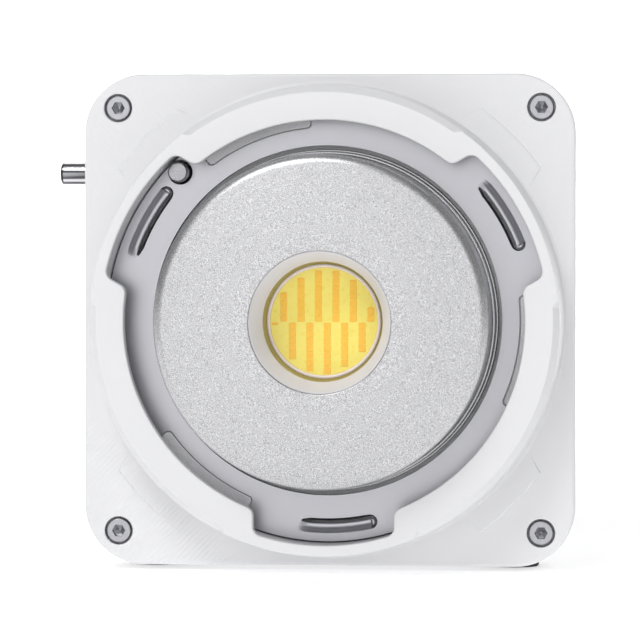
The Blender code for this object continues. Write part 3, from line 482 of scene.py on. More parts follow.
# Finish: (dark colour, light colour, roughness, metallic, lump, grain, bump depth), lengths in mm
SURFACES = {
    "spring_steel": ((0.5, 0.5, 0.53), (0.54, 0.54, 0.57), (0.3, 0.34), 1.0, 30.0, 0.5, 0.002),
    "satin_steel": ((0.36, 0.36, 0.38), (0.46, 0.46, 0.48), (0.24, 0.34), 1.0, 2.0, 0.3, 0.004),
    "screw_steel": ((0.42, 0.42, 0.45), (0.52, 0.52, 0.55), (0.26, 0.36), 1.0, 1.5, 0.2, 0.006),
    "cast_metal": ((0.55, 0.55, 0.57), (0.82, 0.82, 0.84), (0.45, 0.6), 1.0, 0.5, 0.25, 0.05),
    "phosphor": ((0.93, 0.76, 0.1), (1.0, 0.86, 0.2), (0.25, 0.4), 0.0, 1.2, 0.3, 0.01),
    "chip_gel": ((0.97, 0.5, 0.03), (1.0, 0.62, 0.06), (0.25, 0.4), 0.0, 0.8, 0.25, 0.01),
    "pale_silicone": ((0.92, 0.8, 0.72), (0.96, 0.86, 0.78), (0.35, 0.5), 0.0, 1.5, 0.3, 0.01),
    # chip_board is tinted gold as painted reflection, standing in for the phosphor's yellow light thrown back
    # into the gap round the dam.
    "chip_board": ((0.72, 0.58, 0.16), (0.8, 0.66, 0.22), (0.4, 0.55), 0.0, 1.0, 0.2, 0.01),
    "cream_plastic": ((0.74, 0.77, 0.88), (0.8, 0.83, 0.94), (0.35, 0.45), 0.0, 5.0, 0.25, 0.006),
    "dark_plastic": ((0.02, 0.02, 0.022), (0.034, 0.034, 0.037), (0.45, 0.58), 0.0, 3.0, 0.18, 0.03),
    "circuit_board": ((0.012, 0.1, 0.05), (0.03, 0.18, 0.09), (0.3, 0.5), 0.0, 3.0, 0.5, 0.02),
    "rubber": ((0.02, 0.02, 0.02), (0.032, 0.032, 0.032), (0.7, 0.9), 0.0, 1.5, 0.2, 0.04),
    "mark_white": ((0.75, 0.75, 0.75), (0.85, 0.85, 0.85), (0.4, 0.5), 0.0, 1.0, 0.3, 0.005),
}
# Painted light: the LED is off, and this faint emission only brightens the phosphor and chips. The coat
# weights give the gel its gloss.
PAINTED_GLOW_AND_COAT = {
    "phosphor": {"emission_color": (1.0, 0.8, 0.18, 1.0), "emission_strength": 0.05, "coat_weight": 0.3},
    "chip_gel": {"emission_color": (1.0, 0.5, 0.04, 1.0), "emission_strength": 0.07, "coat_weight": 0.3},
}
FINISH = {finish: surface(finish, *row, **PAINTED_GLOW_AND_COAT.get(finish, {})) for finish, row in SURFACES.items()}
FINISH |= {
    "white_paint": painted_metal("white_paint"),
    "ribbed_paint": ribbed_paint("ribbed_white_paint"),
    "blasted_aluminium": blasted_metal("blasted_aluminium"),
    "aluminium": brushed_metal("milled_aluminium", (0.6, 0.61, 0.62), (0.72, 0.73, 0.74), (0.3, 0.42), 0),
    "polished_steel": drawn_bar("polished_steel"),
    "copper": brushed_metal("copper", (0.6, 0.28, 0.17), (0.76, 0.4, 0.27), (0.25, 0.4), 1),
    "display_glass": display_material("display_glass"),
}

CORNERS = {"top_left": (-1, 1), "top_right": (1, 1), "bottom_left": (-1, -1), "bottom_right": (1, -1)}
SCREW_CENTRES = {corner: (x * SCREW_OFFSET, y * SCREW_OFFSET) for corner, (x, y) in CORNERS.items()}


# Front bezel


def notch_half():
    """Half a notch of the mouth, from its middle to the middle of the next lip, with outward normals."""
    fillet, wall = NOTCH_FILLET, NOTCH_HALF_WIDTH
    concave_x = math.sqrt((NOTCH_R - fillet) ** 2 - (wall - fillet) ** 2)
    convex_x = math.sqrt((LIP_R + fillet) ** 2 - (wall + fillet) ** 2)
    concave_turn = math.degrees(math.atan2(wall - fillet, concave_x))
    convex_turn = math.degrees(math.atan2(wall + fillet, convex_x))
    axis, inner, outer = (0.0, 0.0), (concave_x, wall - fillet), (convex_x, wall + fillet)
    stretches = (
        (arc(NOTCH_R, 0.0, concave_turn, 12), axis, 1),
        (arc(fillet, concave_turn, 90.0, 10, inner)[1:], inner, 1),
        (arc(fillet, -90.0, convex_turn - 180.0, 10, outer), outer, -1),
        (arc(LIP_R, convex_turn, 60.0, 26)[1:], axis, 1),
    )
    points = []
    for stretch, centre, side in stretches:
        for x, y in stretch:
            normal = Vector((x - centre[0], y - centre[1])).normalized() * side
            points.append(((x, y), tuple(normal)))
    return points


def mouth_points():
    """The bayonet mouth's outline, as (point, outward normal) pairs."""
    half = notch_half()
    mirrored = [((x, -y), (nx, -ny)) for (x, y), (nx, ny) in reversed(half)]
    whole = mirrored[:-1] + half[:-1]
    return [
        (turn([point], angle)[0], turn([normal], angle)[0])
        for angle in NOTCH_ANGLES
        for point, normal in whole
    ]


def mouth_cutter():
    """What the mouth takes away: a wide bore behind the lips, and the notched opening between them."""
    outline = mouth_points()
    under = COLLAR_HEIGHT - LIP_THICKNESS
    bore = [polar(BORE_R, math.degrees(math.atan2(y, x))) for (x, y), _ in outline]

    def grown(distance):
        return [(x + nx * distance, y + ny * distance) for (x, y), (nx, ny) in outline]

    edge, under_edge, over = 0.45, 0.25, 1.0
    levels = [(bore, BORE_FLOOR), (bore, under), (grown(under_edge), under), (grown(0.0), under + 0.3)]
    levels += [(grown(grow), COLLAR_HEIGHT + rise) for grow, rise in rounded_edge(edge, 5)]
    return stacked(*levels, (grown(edge + 0.02), COLLAR_HEIGHT + over))


def chamfer_share(angle):
    """1 inside a chamfered sector of the collar's edge, 0 on a full lobe, with a short run between them."""
    share = 0.0
    for start, end in CHAMFER_SECTORS:
        for whole_turn in (0.0, -360.0):
            a = angle - whole_turn if angle < start else angle
            depth = min(a - start, end - a)
            share = max(share, min(1.0, depth / CHAMFER_RUN_OUT))
    return share


def collar_shape():
    """The collar, with a fillet at its foot. Its top edge is chamfered in the sectors, and full between."""
    top, steps = COLLAR_HEIGHT, 720
    foot = ((59.9, -0.5), (59.9, 0.02), (59.45, 0.12), (59.1, 0.42), (58.98, 0.9))
    lobe = foot + ((58.25, top - 2.75), (58.12, top - 0.5), (58.0, top - 0.18), (57.7, top))
    chamfer = foot + ((58.25, top - 2.4), (58.1, top - 2.1), (56.85, top - 0.2), (56.55, top))
    rings = []
    for (lobe_r, lobe_z), (cut_r, cut_z) in zip(lobe, chamfer):
        ring = []
        for i in range(steps):
            angle = 360.0 * i / steps
            share = chamfer_share(angle)
            radius = lobe_r + (cut_r - lobe_r) * share
            ring.append((*polar(radius, angle), lobe_z + (cut_z - lobe_z) * share))
        rings.append(ring)
    return loft(rings)


def pad_shape(side_x, side_y):
    """A low wedge between collar and corner. Its edge follows the collar, and it sinks away towards it."""
    edge_r, inner_r, fade_r, half_turn, end_turn = 65.4, 56.0, 60.0, 9.4, 14.0
    height, slope, sunk, steps = 0.5, 0.4, 0.02, 20

    def section(share, rise):
        profile = (
            (inner_r, -0.5), (edge_r, -0.5), (edge_r, -sunk),
            (edge_r - slope * 0.7, (height - 0.1) * rise - sunk), (edge_r - slope, height * rise - sunk),
            (fade_r, -sunk), (inner_r, -0.3),
        )
        points = []
        for radius, z in profile:
            half = half_turn + (end_turn - half_turn) * (edge_r - radius) / (edge_r - inner_r)
            x, y = polar(radius, 45.0 + share * half)
            points.append((side_x * x, side_y * y, z))
        return points

    full = 1 - math.degrees(slope / edge_r) / half_turn
    rings = [section(full * (2 * i / steps - 1), 1.0) for i in range(steps + 1)]
    return loft([section(-1.0, 0.0), *rings, section(1.0, 0.0)])


def front_bezel():
    outline = rectangle_outline(BODY_SIDE, BODY_SIDE, BODY_CORNER, 24)
    bezel = new_object("bezel_casting", filleted(outline, -PLATE_THICKNESS, 0.0, 0.8, 6, 0.3))
    combine(bezel, collar_shape(), "UNION")
    for side_x, side_y in CORNERS.values():
        combine(bezel, pad_shape(side_x, side_y), "UNION")
    combine(bezel, mouth_cutter())
    dome_hole_r, pin_hole_r, through = 38.0, 2.8, -PLATE_THICKNESS - 1.0
    dome_hole = flared(round_outline(dome_hole_r, 96), through, BORE_FLOOR, 0.3)
    pin_hole = flared(round_outline(pin_hole_r, 32, (PIN_X, PIN_Y)), through, BORE_FLOOR, 0.2)
    combine(bezel, merged(dome_hole, pin_hole))
    floor = FRONT_SCREW_FLOOR
    profile = (
        (SCREW_SHANK_HOLE_R, through), (SCREW_SHANK_HOLE_R, floor), (3.5, floor), (3.55, floor + 0.05),
        (3.55, -0.35), (3.62, -0.12), (3.85, 0.0), (3.9, 1.0),
    )
    combine(bezel, merged(*[lathe(profile, 48, centre) for centre in SCREW_CENTRES.values()]))
    place(bezel, "ribbed_paint", "front_bezel", slot="white_paint")


# Bayonet spring plate, backing ring and lock pin

PLATE_TOP, PLATE_BOTTOM = 4.4, 3.4
PLATE_RIM_R, PLATE_HOLE_R = 55.2, 43.7
# Each spring tongue is lanced from the plate and pressed up: its middle's lead on the notch and its length in
# degrees, the radii of its free inner edge and of its outer crease, and the slit that frees it and curls
# round its tip. The bottom one is lanced the other way round.
TONGUE_LEAD, TONGUE_SPAN = 2.0, 21.5
TONGUE_IN_R, TONGUE_OUT_R, TONGUE_SLIT, TONGUE_TIP_R = 50.6, 53.4, 0.6, 0.95
TONGUE_FREE_END = {30.0: -1, 150.0: -1, 270.0: 1}
WINDOW_IN_R, WINDOW_OUT_R, WINDOW_SPAN, WINDOW_LAG = 48.0, 51.4, 33.0, 39.0


def ring_slot(inner, outer, span, middle, corner, steps=24):
    """A slot bent round the axis, with rounded corners."""
    inset = math.degrees(corner / ((inner + outer) / 2))
    half = span / 2 - inset

    def rounded_corner(radius, angle, start):
        return arc(corner, start + angle, start + angle + 90.0, 6, polar(radius, angle))[1:-1]

    points = arc(outer, -half, half, steps)
    points += rounded_corner(outer - corner, half, 0.0)
    points += rounded_corner(inner + corner, half, 90.0)
    points += arc(inner, half, -half, steps)
    points += rounded_corner(inner + corner, -half, 180.0)
    points += rounded_corner(outer - corner, -half, 270.0)
    return turn(points, middle)


# A tongue across its width: (distance in from the crease, height over the plate)
TONGUE_SECTION = (
    (0.0, 0.0), (0.3, 0.04), (0.55, 0.14), (0.8, 0.32), (1.0, 0.42), (1.25, 0.46),
    (1.4, 0.6), (1.6, 0.72), (2.0, 0.78), (2.4, 0.76), (2.62, 0.68), (2.8, 0.5),
)


def tongue_shape(middle, free_end):
    """The metal that a tongue raises over the plate. It climbs slowly from its root and drops at its tip."""
    along, root, tip, sunk = 72, 0.2, 0.05, 0.02
    rings = []
    for i in range(along + 1):
        u = i / along
        climb = min(1.0, u / root)
        climb = climb * climb * (3 - 2 * climb)
        left = max(0.0, (u - 1 + tip) / tip)
        climb *= 0.55 + 0.45 * math.sqrt(1 - left * left)
        angle = middle + free_end * (u - 0.5) * TONGUE_SPAN
        ring = [(TONGUE_OUT_R, PLATE_BOTTOM + 0.2)]
        for inward, height in TONGUE_SECTION:
            ring.append((TONGUE_OUT_R - inward, PLATE_TOP - sunk + height * climb))
        ring.append((TONGUE_IN_R, PLATE_BOTTOM + 0.2))
        rings.append([(*polar(radius, angle), z) for radius, z in ring])
    return loft(rings)


def slit_route(middle, free_end):
    """The slit's centre line: along the tongue's inner edge from its root, then round its tip."""
    radius = TONGUE_IN_R - TONGUE_SLIT / 2
    start, end = -TONGUE_SPAN / 2 + 1.5, TONGUE_SPAN / 2 - 0.6
    points = arc(radius, start, end, 60)
    tip_r, tip_turn = TONGUE_TIP_R + TONGUE_SLIT / 2, 175.0
    centre = polar(radius + tip_r, end)
    points += arc(tip_r, end - 180.0, end - 180.0 - tip_turn, 20, centre)[1:]
    return [turn([(x, free_end * y)], middle)[0] for x, y in points]


def slit_cutter(middle, free_end):
    """The slit, cut right through, with its mouth opened out on the plate's side."""
    route = slit_route(middle, free_end)
    rings = []
    for i, (x, y) in enumerate(route):
        before, after = route[max(i - 1, 0)], route[min(i + 1, len(route) - 1)]
        along = Vector((after[0] - before[0], after[1] - before[1])).normalized()
        side = Vector((along.y, -along.x)) * free_end
        half = TONGUE_SLIT / 2
        mouth = 0.55 * min(1.0, i / 8, (len(route) - 1 - i) / 24)
        section = (
            (half, PLATE_BOTTOM - 1.0), (half, PLATE_TOP + 2.0), (-half - mouth, PLATE_TOP + 2.0),
            (-half - mouth, PLATE_TOP), (-half, PLATE_TOP - 0.15 - mouth), (-half, PLATE_BOTTOM - 1.0),
        )
        rings.append([(x + side.x * out, y + side.y * out, z) for out, z in section])
    return loft(rings)


def spring_plate():
    loops = [circle(PLATE_RIM_R, 240), circle(PLATE_HOLE_R, 240)]
    for angle in NOTCH_ANGLES:
        loops.append(ring_slot(WINDOW_IN_R, WINDOW_OUT_R, WINDOW_SPAN, angle - WINDOW_LAG, 1.3))
    plate = prism("spring_plate_sheet", loops, PLATE_BOTTOM, PLATE_TOP)
    for angle, free_end in TONGUE_FREE_END.items():
        combine(plate, tongue_shape(angle + TONGUE_LEAD, free_end), "UNION")
    for angle, free_end in TONGUE_FREE_END.items():
        combine(plate, slit_cutter(angle + TONGUE_LEAD, free_end))
    pin_hole_r = 3.1
    pin_hole = ((pin_hole_r, PLATE_BOTTOM - 1.0), (pin_hole_r, PLATE_TOP + 1.0))
    combine(plate, lathe(pin_hole, 48, (PIN_X, PIN_Y)))
    bevel(plate, 0.1, 2, 50.0)
    place(plate, "spring_steel", "mount_spring_plate", slot="satin_steel", angle=40.0)


def backing_ring():
    """The ring below the spring plate: a boss in each window, and a pocket under each tongue."""
    outer, inner, ledge = 55.2, 43.9, 36.0
    top, flange, bottom = 3.1, -1.0, -4.0
    profile = (
        (inner + 0.3, top), (outer - 0.2, top), (outer, top - 0.2), (outer, bottom), (ledge, bottom),
        (ledge, flange), (inner, flange), (inner, top - 0.3),
    )
    ring = new_object("backing_ring_casting", lathe(profile, 192, loop=True))
    play, boss_top, relief_depth = 0.3, PLATE_TOP - 0.35, 3.6
    for angle in NOTCH_ANGLES:
        span = WINDOW_SPAN - math.degrees(2 * play / WINDOW_IN_R)

        def boss_outline(inset):
            edge = play + inset
            return ring_slot(WINDOW_IN_R + edge, WINDOW_OUT_R - edge, span, angle - WINDOW_LAG, 1.1)

        combine(ring, filleted(boss_outline, top - 0.5, boss_top, 0.15, 2), "UNION")
        inner_r, outer_r = TONGUE_IN_R - 1.6, TONGUE_OUT_R + 0.3
        relief = ring_slot(inner_r, outer_r, TONGUE_SPAN + 3.0, angle + TONGUE_LEAD, 1.2)
        combine(ring, stacked((relief, top - relief_depth), (relief, top + 1.0)))
    pin_hole_r = 3.3
    combine(ring, lathe(((pin_hole_r, bottom - 1.0), (pin_hole_r, top + 2.0)), 32, (PIN_X, PIN_Y)))
    place(ring, "cast_metal", "mount_backing_ring")


def lock_pin():
    radius, tip = 2.5, 10.0
    carrier_low, carrier_high = -27.4, -17.4
    profile = [(radius, carrier_high - 0.5), (radius, tip - 0.45)]
    profile += [(radius - 0.05, tip - 0.3), (radius - 0.35, tip - 0.02), (radius - 0.5, tip), (0.0, tip)]
    pin = new_object("lock_pin_plunger", lathe(profile, 64, (PIN_X, PIN_Y)))
    block = rectangle_outline(12.0, 10.0, 1.0, 4, (PIN_X, PIN_Y))
    combine(pin, filleted(block, carrier_low, carrier_high, 0.3), "UNION")
    place(pin, "satin_steel", "lock_pin", body="lock_pin")


def release_rod():
    """The rod through the left side: a turned bar with a chamfered, dished end."""
    low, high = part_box("release_rod")
    length, radius = (high.x - low.x) / MM, (high.z - low.z) / 2 / MM
    profile = [(0.0, 0.0), (radius - 0.25, 0.0), (radius, 0.25), (radius, length - 0.55)]
    profile += [(radius - 0.1, length - 0.3), (radius - 0.55, length), (radius - 1.1, length)]
    profile += [(0.0, length - 0.12)]
    towards_left = Matrix.Translation(Vector((high.x, (low.y + high.y) / 2, (low.z + high.z) / 2)))
    towards_left @= Matrix.Rotation(-math.pi / 2, 4, "Y") @ Matrix.Scale(MM, 4)
    rod = new_object("release_rod_bar", lathe(profile, 64), towards_left)
    place(rod, "polished_steel", "release_rod", body="lock_pin")


def cap_screw(end, corner):
    """A socket-head screw: a rolled edge round the head and a hexagon socket with a coned floor."""
    centre = SCREW_CENTRES[corner]
    head_r, head, shank_r, shank = 3.0, 2.8, 1.5, 14.0
    socket_r, mouth_r, cone_r = 1.62, 1.8, 0.2
    profile = ((0.0, -shank), (shank_r, -shank), (shank_r, 0.0), (head_r, 0.0), (head_r, head - 0.3))
    profile += ((head_r - 0.06, head - 0.12), (head_r - 0.22, head), (0.0, head))
    levels = ((mouth_r, 0.2), (socket_r, -0.12), (socket_r, -1.7), (cone_r, -2.5))
    socket = stacked(*[(circle(radius, 6, centre), head + rise) for radius, rise in levels])
    rear = end == "rear"
    seat = (REAR_SCREW_FLOOR if rear else FRONT_SCREW_FLOOR) + SCREW_LIFT
    lift = Matrix.Translation((0.0, 0.0, seat))
    shapes = [moved(lathe(profile, 48, centre), lift), moved(socket, lift)]
    if rear:
        shapes = [backwards(shape) for shape in shapes]
    screw = new_object(f"{end}_cap_screw_{corner}", shapes[0])
    combine(screw, shapes[1])
    place(screw, "screw_steel", f"{end}_screw_{corner}", slot="satin_steel", angle=25.0)


# LED and dome

DOME_FACE = (PLATE_FACE_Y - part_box("dome_cover")[0].y) / MM
DOME_R = 41.3
CHIP_FACE = 13.0
GEL_TOP = CHIP_FACE + 0.75
GEL_R, DAM_R = 13.3, 14.15


def dome_cover():
    """The cap round the LED: a slightly crowned face, a rounded edge and two steps down its side."""
    fillet, hole_r, wall, crown, lip_r, bottom = 2.8, 17.5, 2.0, 1.3, 0.35, -0.7
    lip = [(hole_r, DOME_FACE - wall)]
    lip += arc(lip_r, 180.0, 90.0, 6, (hole_r + lip_r, DOME_FACE - lip_r))
    face_run = DOME_R - fillet - hole_r - lip_r
    for i in range(1, 8):
        share = i / 8
        lip.append((hole_r + lip_r + face_run * share, DOME_FACE - crown * share * share))
    edge = arc(fillet, 84.0, 0.0, 14, (DOME_R - fillet, DOME_FACE - crown - fillet))
    steps = [(DOME_R, 8.3), (DOME_R + 0.3, 8.0), (DOME_R + 0.65, 8.0), (DOME_R + 0.8, 7.85)]
    steps += [(DOME_R + 0.8, 3.2), (DOME_R + 0.95, 3.0), (DOME_R + 1.25, 3.0), (DOME_R + 1.4, 2.85)]
    steps += [(DOME_R + 1.4, bottom)]
    inside = [(DOME_R - wall, bottom), (DOME_R - wall, DOME_FACE - wall)]
    dome = new_object("dome_cap", lathe(lip + edge + steps + inside, 256, loop=True))
    place(dome, "blasted_aluminium", "dome_cover")


def reflector_cone():
    mouth, throat = DOME_FACE - 0.55, 18.0
    profile = [(17.44, mouth), (17.44, mouth - 0.6), (16.4, throat + 1.5), (22.0, throat + 1.5)]
    profile += [(22.0, throat), (15.2, throat - 0.6)]
    profile += [(14.95, throat - 0.55), (14.85, throat - 0.3), (14.9, throat)]
    profile += [(17.2, mouth - 0.12), (17.32, mouth)]
    cone = new_object("reflector_cone_moulding", lathe(profile, 160, loop=True))
    place(cone, "cream_plastic", "reflector_cone")


CHIP_PITCH, CHIP_SIDE, CHIP_STEP = 4.32, 1.72, 1.82
UPPER_SHIFT, SPLIT_Y = -1.36, -0.2


def chip_box(x, low_y, high_y):
    centre, height = (x, (low_y + high_y) / 2), high_y - low_y
    outline = rounded_rectangle(CHIP_SIDE, height, 0.2, 3, centre)
    inset = rounded_rectangle(CHIP_SIDE - 0.16, height - 0.16, 0.14, 3, centre)
    return stacked((outline, GEL_TOP - 0.2), (outline, GEL_TOP + 0.06), (inset, GEL_TOP + 0.12))


def chip_columns():
    """Two staggered halves of chip columns, each chip clipped to the gel's edge."""
    chips = []
    reach, first, shortest = GEL_R - 0.25, 0.14, 0.5
    for half, shift in ((1, UPPER_SHIFT), (-1, UPPER_SHIFT + CHIP_PITCH / 2)):
        for k in range(-4, 5):
            x = shift + k * CHIP_PITCH
            outer_x = abs(x) + CHIP_SIDE / 2
            if outer_x >= reach:
                continue
            limit = math.sqrt(reach * reach - outer_x * outer_x)
            start = first
            while start + shortest < limit - SPLIT_Y * half:
                end = min(start + CHIP_SIDE, limit - SPLIT_Y * half)
                low, high = sorted((SPLIT_Y + half * start, SPLIT_Y + half * end))
                chips.append(chip_box(x, low, high))
                start += CHIP_STEP
    return merged(*chips)


def led():
    low, high, inner = CHIP_FACE + 0.3, CHIP_FACE + 1.3, GEL_R + 0.05
    profile = [(0.0, low), (GEL_R, low), (GEL_R, GEL_TOP - 0.05), (GEL_R - 0.25, GEL_TOP), (0.0, GEL_TOP)]
    place(new_object("phosphor_gel_disc", lathe(profile, 128)), "phosphor", "led_phosphor_disc")
    place(new_object("phosphor_chip_columns", chip_columns()), "chip_gel", slot="phosphor")
    ring = [(inner, low), (inner, high - 0.5)]
    ring += arc(0.42, 180.0, 0.0, 10, ((inner + DAM_R) / 2, high - 0.42))
    ring += [(DAM_R, low)]
    place(new_object("silicone_dam", lathe(ring, 128, loop=True)), "pale_silicone", "led_dam_ring")


# Body shell

shell_low, shell_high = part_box("body_shell")
SHELL_SIDE = (shell_high.x - shell_low.x) / MM
SHELL_CORNER, SHELL_WALL = 8.0, 2.2
SHELL_FRONT, SHELL_BACK = -8.3, -116.0
SIDE_VENTS, TOP_VENTS, VENT_PITCH, VENT_WIDTH, VENT_LENGTH = 8, 5, 7.5, 3.0, 52.0
VENT_SLANT, VENT_MIDDLE_Y, VENT_MIDDLE = 25.0, -4.0, -68.0
PIN_TRAVEL = 6.0


def slot_cutter(length, width, matrix):
    """A round-ended slot, cut along its own -z from its rounded mouth at z = 0."""
    shape = flared(rectangle_outline(length, width, width / 2 - 0.01, 8), -SHELL_WALL - 1.0, 0.0, 0.5)
    return moved(shape, matrix)


def vent_cutters(out, centre, count, slant=0.0):
    """A row of slots through a wall, where the CAD has them. out turns +z towards the wall's outside."""
    x, y, middle = centre
    slanted = Matrix.Rotation(math.radians(slant), 4, "X") @ Matrix(out).to_4x4()
    cutters = []
    for i in range(count):
        shift = Matrix.Translation((x, y, middle + (i - (count - 1) / 2) * VENT_PITCH))
        cutters.append(slot_cutter(VENT_LENGTH, VENT_WIDTH, shift @ slanted))
    return cutters


def rod_slot_cutter():
    low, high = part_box("release_rod")
    rod_z = -((low.y + high.y) / 2 - PLATE_FACE_Y) / MM
    width = 6.2
    out = Matrix(((0, 0, -1), (0, 1, 0), (1, 0, 0))).to_4x4()
    shift = Matrix.Translation((-SHELL_SIDE / 2, PIN_Y, rod_z - PIN_TRAVEL / 2))
    return slot_cutter(width + PIN_TRAVEL, width, shift @ out)


def body_shell():
    outline = rectangle_outline(SHELL_SIDE, SHELL_SIDE, SHELL_CORNER, 20)
    edge = 0.35
    levels = [(outline(edge), SHELL_BACK), (outline(0.0), SHELL_BACK + edge)]
    levels += [(outline(0.0), SHELL_FRONT - edge), (outline(edge), SHELL_FRONT)]
    levels += [(outline(SHELL_WALL), SHELL_FRONT), (outline(SHELL_WALL), SHELL_BACK)]
    shell = new_object("shell_extrusion", stacked(*levels, loop=True))
    half = SHELL_SIDE / 2
    cutters = []
    for side in (-1, 1):
        out = ((0, 0, side), (1, 0, 0), (0, side, 0))
        cutters += vent_cutters(out, (side * half, VENT_MIDDLE_Y, VENT_MIDDLE), SIDE_VENTS, VENT_SLANT)
    cutters += vent_cutters(((1, 0, 0), (0, 0, 1), (0, -1, 0)), (0.0, half, VENT_MIDDLE), TOP_VENTS)
    combine(shell, merged(*cutters, rod_slot_cutter()))
    boss_hole = flared(rectangle_outline(24.6, 40.6, 1.0, 4), -SHELL_WALL - 1.0, 0.0, 0.3)
    down = Matrix.Translation((0.0, -SHELL_SIDE / 2, PLATE_FACE_Y / MM))
    combine(shell, moved(boss_hole, down @ Matrix.Rotation(math.pi / 2, 4, "X")))
    place(shell, "white_paint", "body_shell")


# Rear

REAR_FRONT, REAR_BACK, REAR_PANEL = 116.3, 122.0, 119.5
KNOB_X, KNOB_Y = 34.0, -10.0
BUTTON_PITCH, BUTTON_Y = 14.0, -10.0
WINDOW_SIZE, WINDOW_Y = (56.0, 34.0), 25.0
INLET_X, INLET_Y, ROCKER_X, ROCKER_Y, PORT_Y = -34.0, -38.0, 34.0, -38.0, -38.0


def rear_cover():
    """Built with its outer face towards +z, and turned round at the end."""
    outline = rectangle_outline(SHELL_SIDE, SHELL_SIDE, SHELL_CORNER, 20)
    casting = filleted(outline, REAR_FRONT, REAR_BACK, 0.9, 6, 0.3)
    cover = new_object("rear_cover_casting", backwards(casting))
    pocket = rectangle_outline(104.0, 104.0, 8.0, 12)
    combine(cover, backwards(flared(pocket, REAR_PANEL, REAR_BACK, 0.6, 4)))
    (width, height), through = WINDOW_SIZE, REAR_FRONT - 1.0
    recess = rectangle_outline(width + 0.6, height + 0.6, 3.3, 8, (0.0, WINDOW_Y))
    opening = rectangle_outline(width - 4.0, height - 4.0, 2.0, 6, (0.0, WINDOW_Y))
    knob_hole_r, button_hole_r, inlet_hole_r = 3.7, 4.3, 9.1
    rims = [(round_outline(knob_hole_r, 32, (side * KNOB_X, KNOB_Y)), 0.3) for side in (-1, 1)]
    rims += [(round_outline(button_hole_r, 40, (i * BUTTON_PITCH, BUTTON_Y)), 0.35) for i in (-1, 0, 1)]
    rims.append((round_outline(inlet_hole_r, 64, (INLET_X, INLET_Y)), 0.2))
    rims.append((rectangle_outline(13.6, 19.6, 0.8, 3, (ROCKER_X, ROCKER_Y)), 0.2))
    rims.append((rectangle_outline(9.6, 3.8, 1.85, 8, (0.0, PORT_Y)), 0.4))
    holes = [flared(recess, REAR_PANEL - 1.5, REAR_PANEL, 0.2)]
    holes += [flared(rim, through, REAR_PANEL, flare) for rim, flare in rims]
    combine(cover, backwards(merged(*holes)))
    combine(cover, backwards(flared(opening, through, REAR_PANEL, 0.2)))
    profile = (
        (SCREW_SHANK_HOLE_R, through), (SCREW_SHANK_HOLE_R, REAR_SCREW_FLOOR), (3.3, REAR_SCREW_FLOOR),
        (3.3, REAR_BACK - 0.3), (3.38, REAR_BACK - 0.1), (3.6, REAR_BACK), (3.62, REAR_BACK + 1.0),
    )
    combine(cover, backwards(merged(*[lathe(profile, 40, centre) for centre in SCREW_CENTRES.values()])))
    place(cover, "white_paint", "rear_cover")


def display():
    outline = rectangle_outline(*WINDOW_SIZE, 3.0, 10, (0.0, WINDOW_Y))
    pane = filleted(outline, REAR_PANEL - 1.2, REAR_PANEL, 0.3, 4)
    place(new_object("display_glass_pane", backwards(pane)), "display_glass", "display_window")


def knob(control, side):
    """A fluted knob with a rounded rim, a dished face and a mark."""
    centre = (side * KNOB_X, KNOB_Y)
    radius, shaft_r, skirt, face = 11.0, 2.3, REAR_PANEL + 1.2, 133.0
    flutes, steps, depth = 40, 480, 0.32
    # Radius, height and how deep the flutes are there
    profile = (
        (shaft_r, REAR_PANEL - 8.0, 0), (shaft_r, skirt, 0), (10.6, skirt, 0), (11.6, skirt + 0.25, 0),
        (11.6, skirt + 1.35, 0), (11.4, skirt + 1.6, 0), (10.7, skirt + 1.7, 0),
        (radius, skirt + 1.9, 0), (radius, skirt + 2.6, 1), (radius - 0.15, face - 1.9, 1),
        (radius - 0.2, face - 1.3, 0), (radius - 0.45, face - 0.7, 0), (radius - 1.0, face - 0.2, 0),
        (radius - 1.7, face, 0), (radius - 2.2, face - 0.1, 0), (radius - 2.8, face - 0.5, 0),
        (0.1, face - 0.8, 0),
    )
    rings = []
    for reach, z, share in profile:
        ring = []
        for i in range(steps):
            wave = 0.5 - 0.5 * math.cos(2 * math.pi * flutes * i / steps)
            ring.append((*polar(reach - depth * share * wave, 360.0 * i / steps, centre), z))
        rings.append(ring)
    name, body = control + "_dial", control + "_knob"
    place(new_object(name, backwards(loft(rings))), "dark_plastic", body, body=body)
    mark = rectangle_outline(0.9, 3.2, 0.44, 4, (centre[0], centre[1] + radius - 4.6))
    stripe = new_object(name + "_mark", backwards(filleted(mark, face - 1.0, face - 0.35, 0.12, 2, 0.05)))
    place(stripe, "mark_white", body=body, slot="cream_plastic")


def dial_ticks():
    """A ring of raised ticks round each knob, longer at the ends and middle of its scale."""
    count, sweep, ring_r = 11, 270.0, 13.9
    low, high = REAR_PANEL - 0.05, REAR_PANEL + 0.12
    ticks = []
    for side in (-1, 1):
        for i in range(count):
            length = 1.8 if i in (0, count // 2, count - 1) else 1.1
            tick = filleted(rectangle_outline(0.5, length, 0.24, 3), low, high, 0.05, 2, 0.02)
            spin = Matrix.Rotation(math.radians(sweep * (i / (count - 1) - 0.5)), 4, "Z")
            knob_axis = Matrix.Translation((side * KNOB_X, KNOB_Y, 0.0))
            ticks.append(moved(tick, knob_axis @ spin @ Matrix.Translation((0.0, ring_r, 0.0))))
    place(new_object("dial_ticks", backwards(merged(*ticks))), "dark_plastic")


def push_button(control, index):
    """A round button with a dished cap and a flange behind the panel."""
    radius, cap, flange_r, flange_back, flange_front = 4.0, REAR_PANEL + 2.0, 5.0, 115.1, 116.0
    profile = [(0.0, flange_back), (flange_r, flange_back), (flange_r, flange_front)]
    profile += [(radius, flange_front), (radius, cap - 0.6)]
    profile += arc(0.6, 0.0, 75.0, 5, (radius - 0.6, cap - 0.6))[1:]
    profile += [(radius - 1.3, cap - 0.03), (radius - 2.4, cap - 0.22), (0.0, cap - 0.32)]
    body = control + "_button"
    button = new_object(control + "_key", backwards(lathe(profile, 64, (index * BUTTON_PITCH, BUTTON_Y))))
    place(button, "dark_plastic", body, body=body)


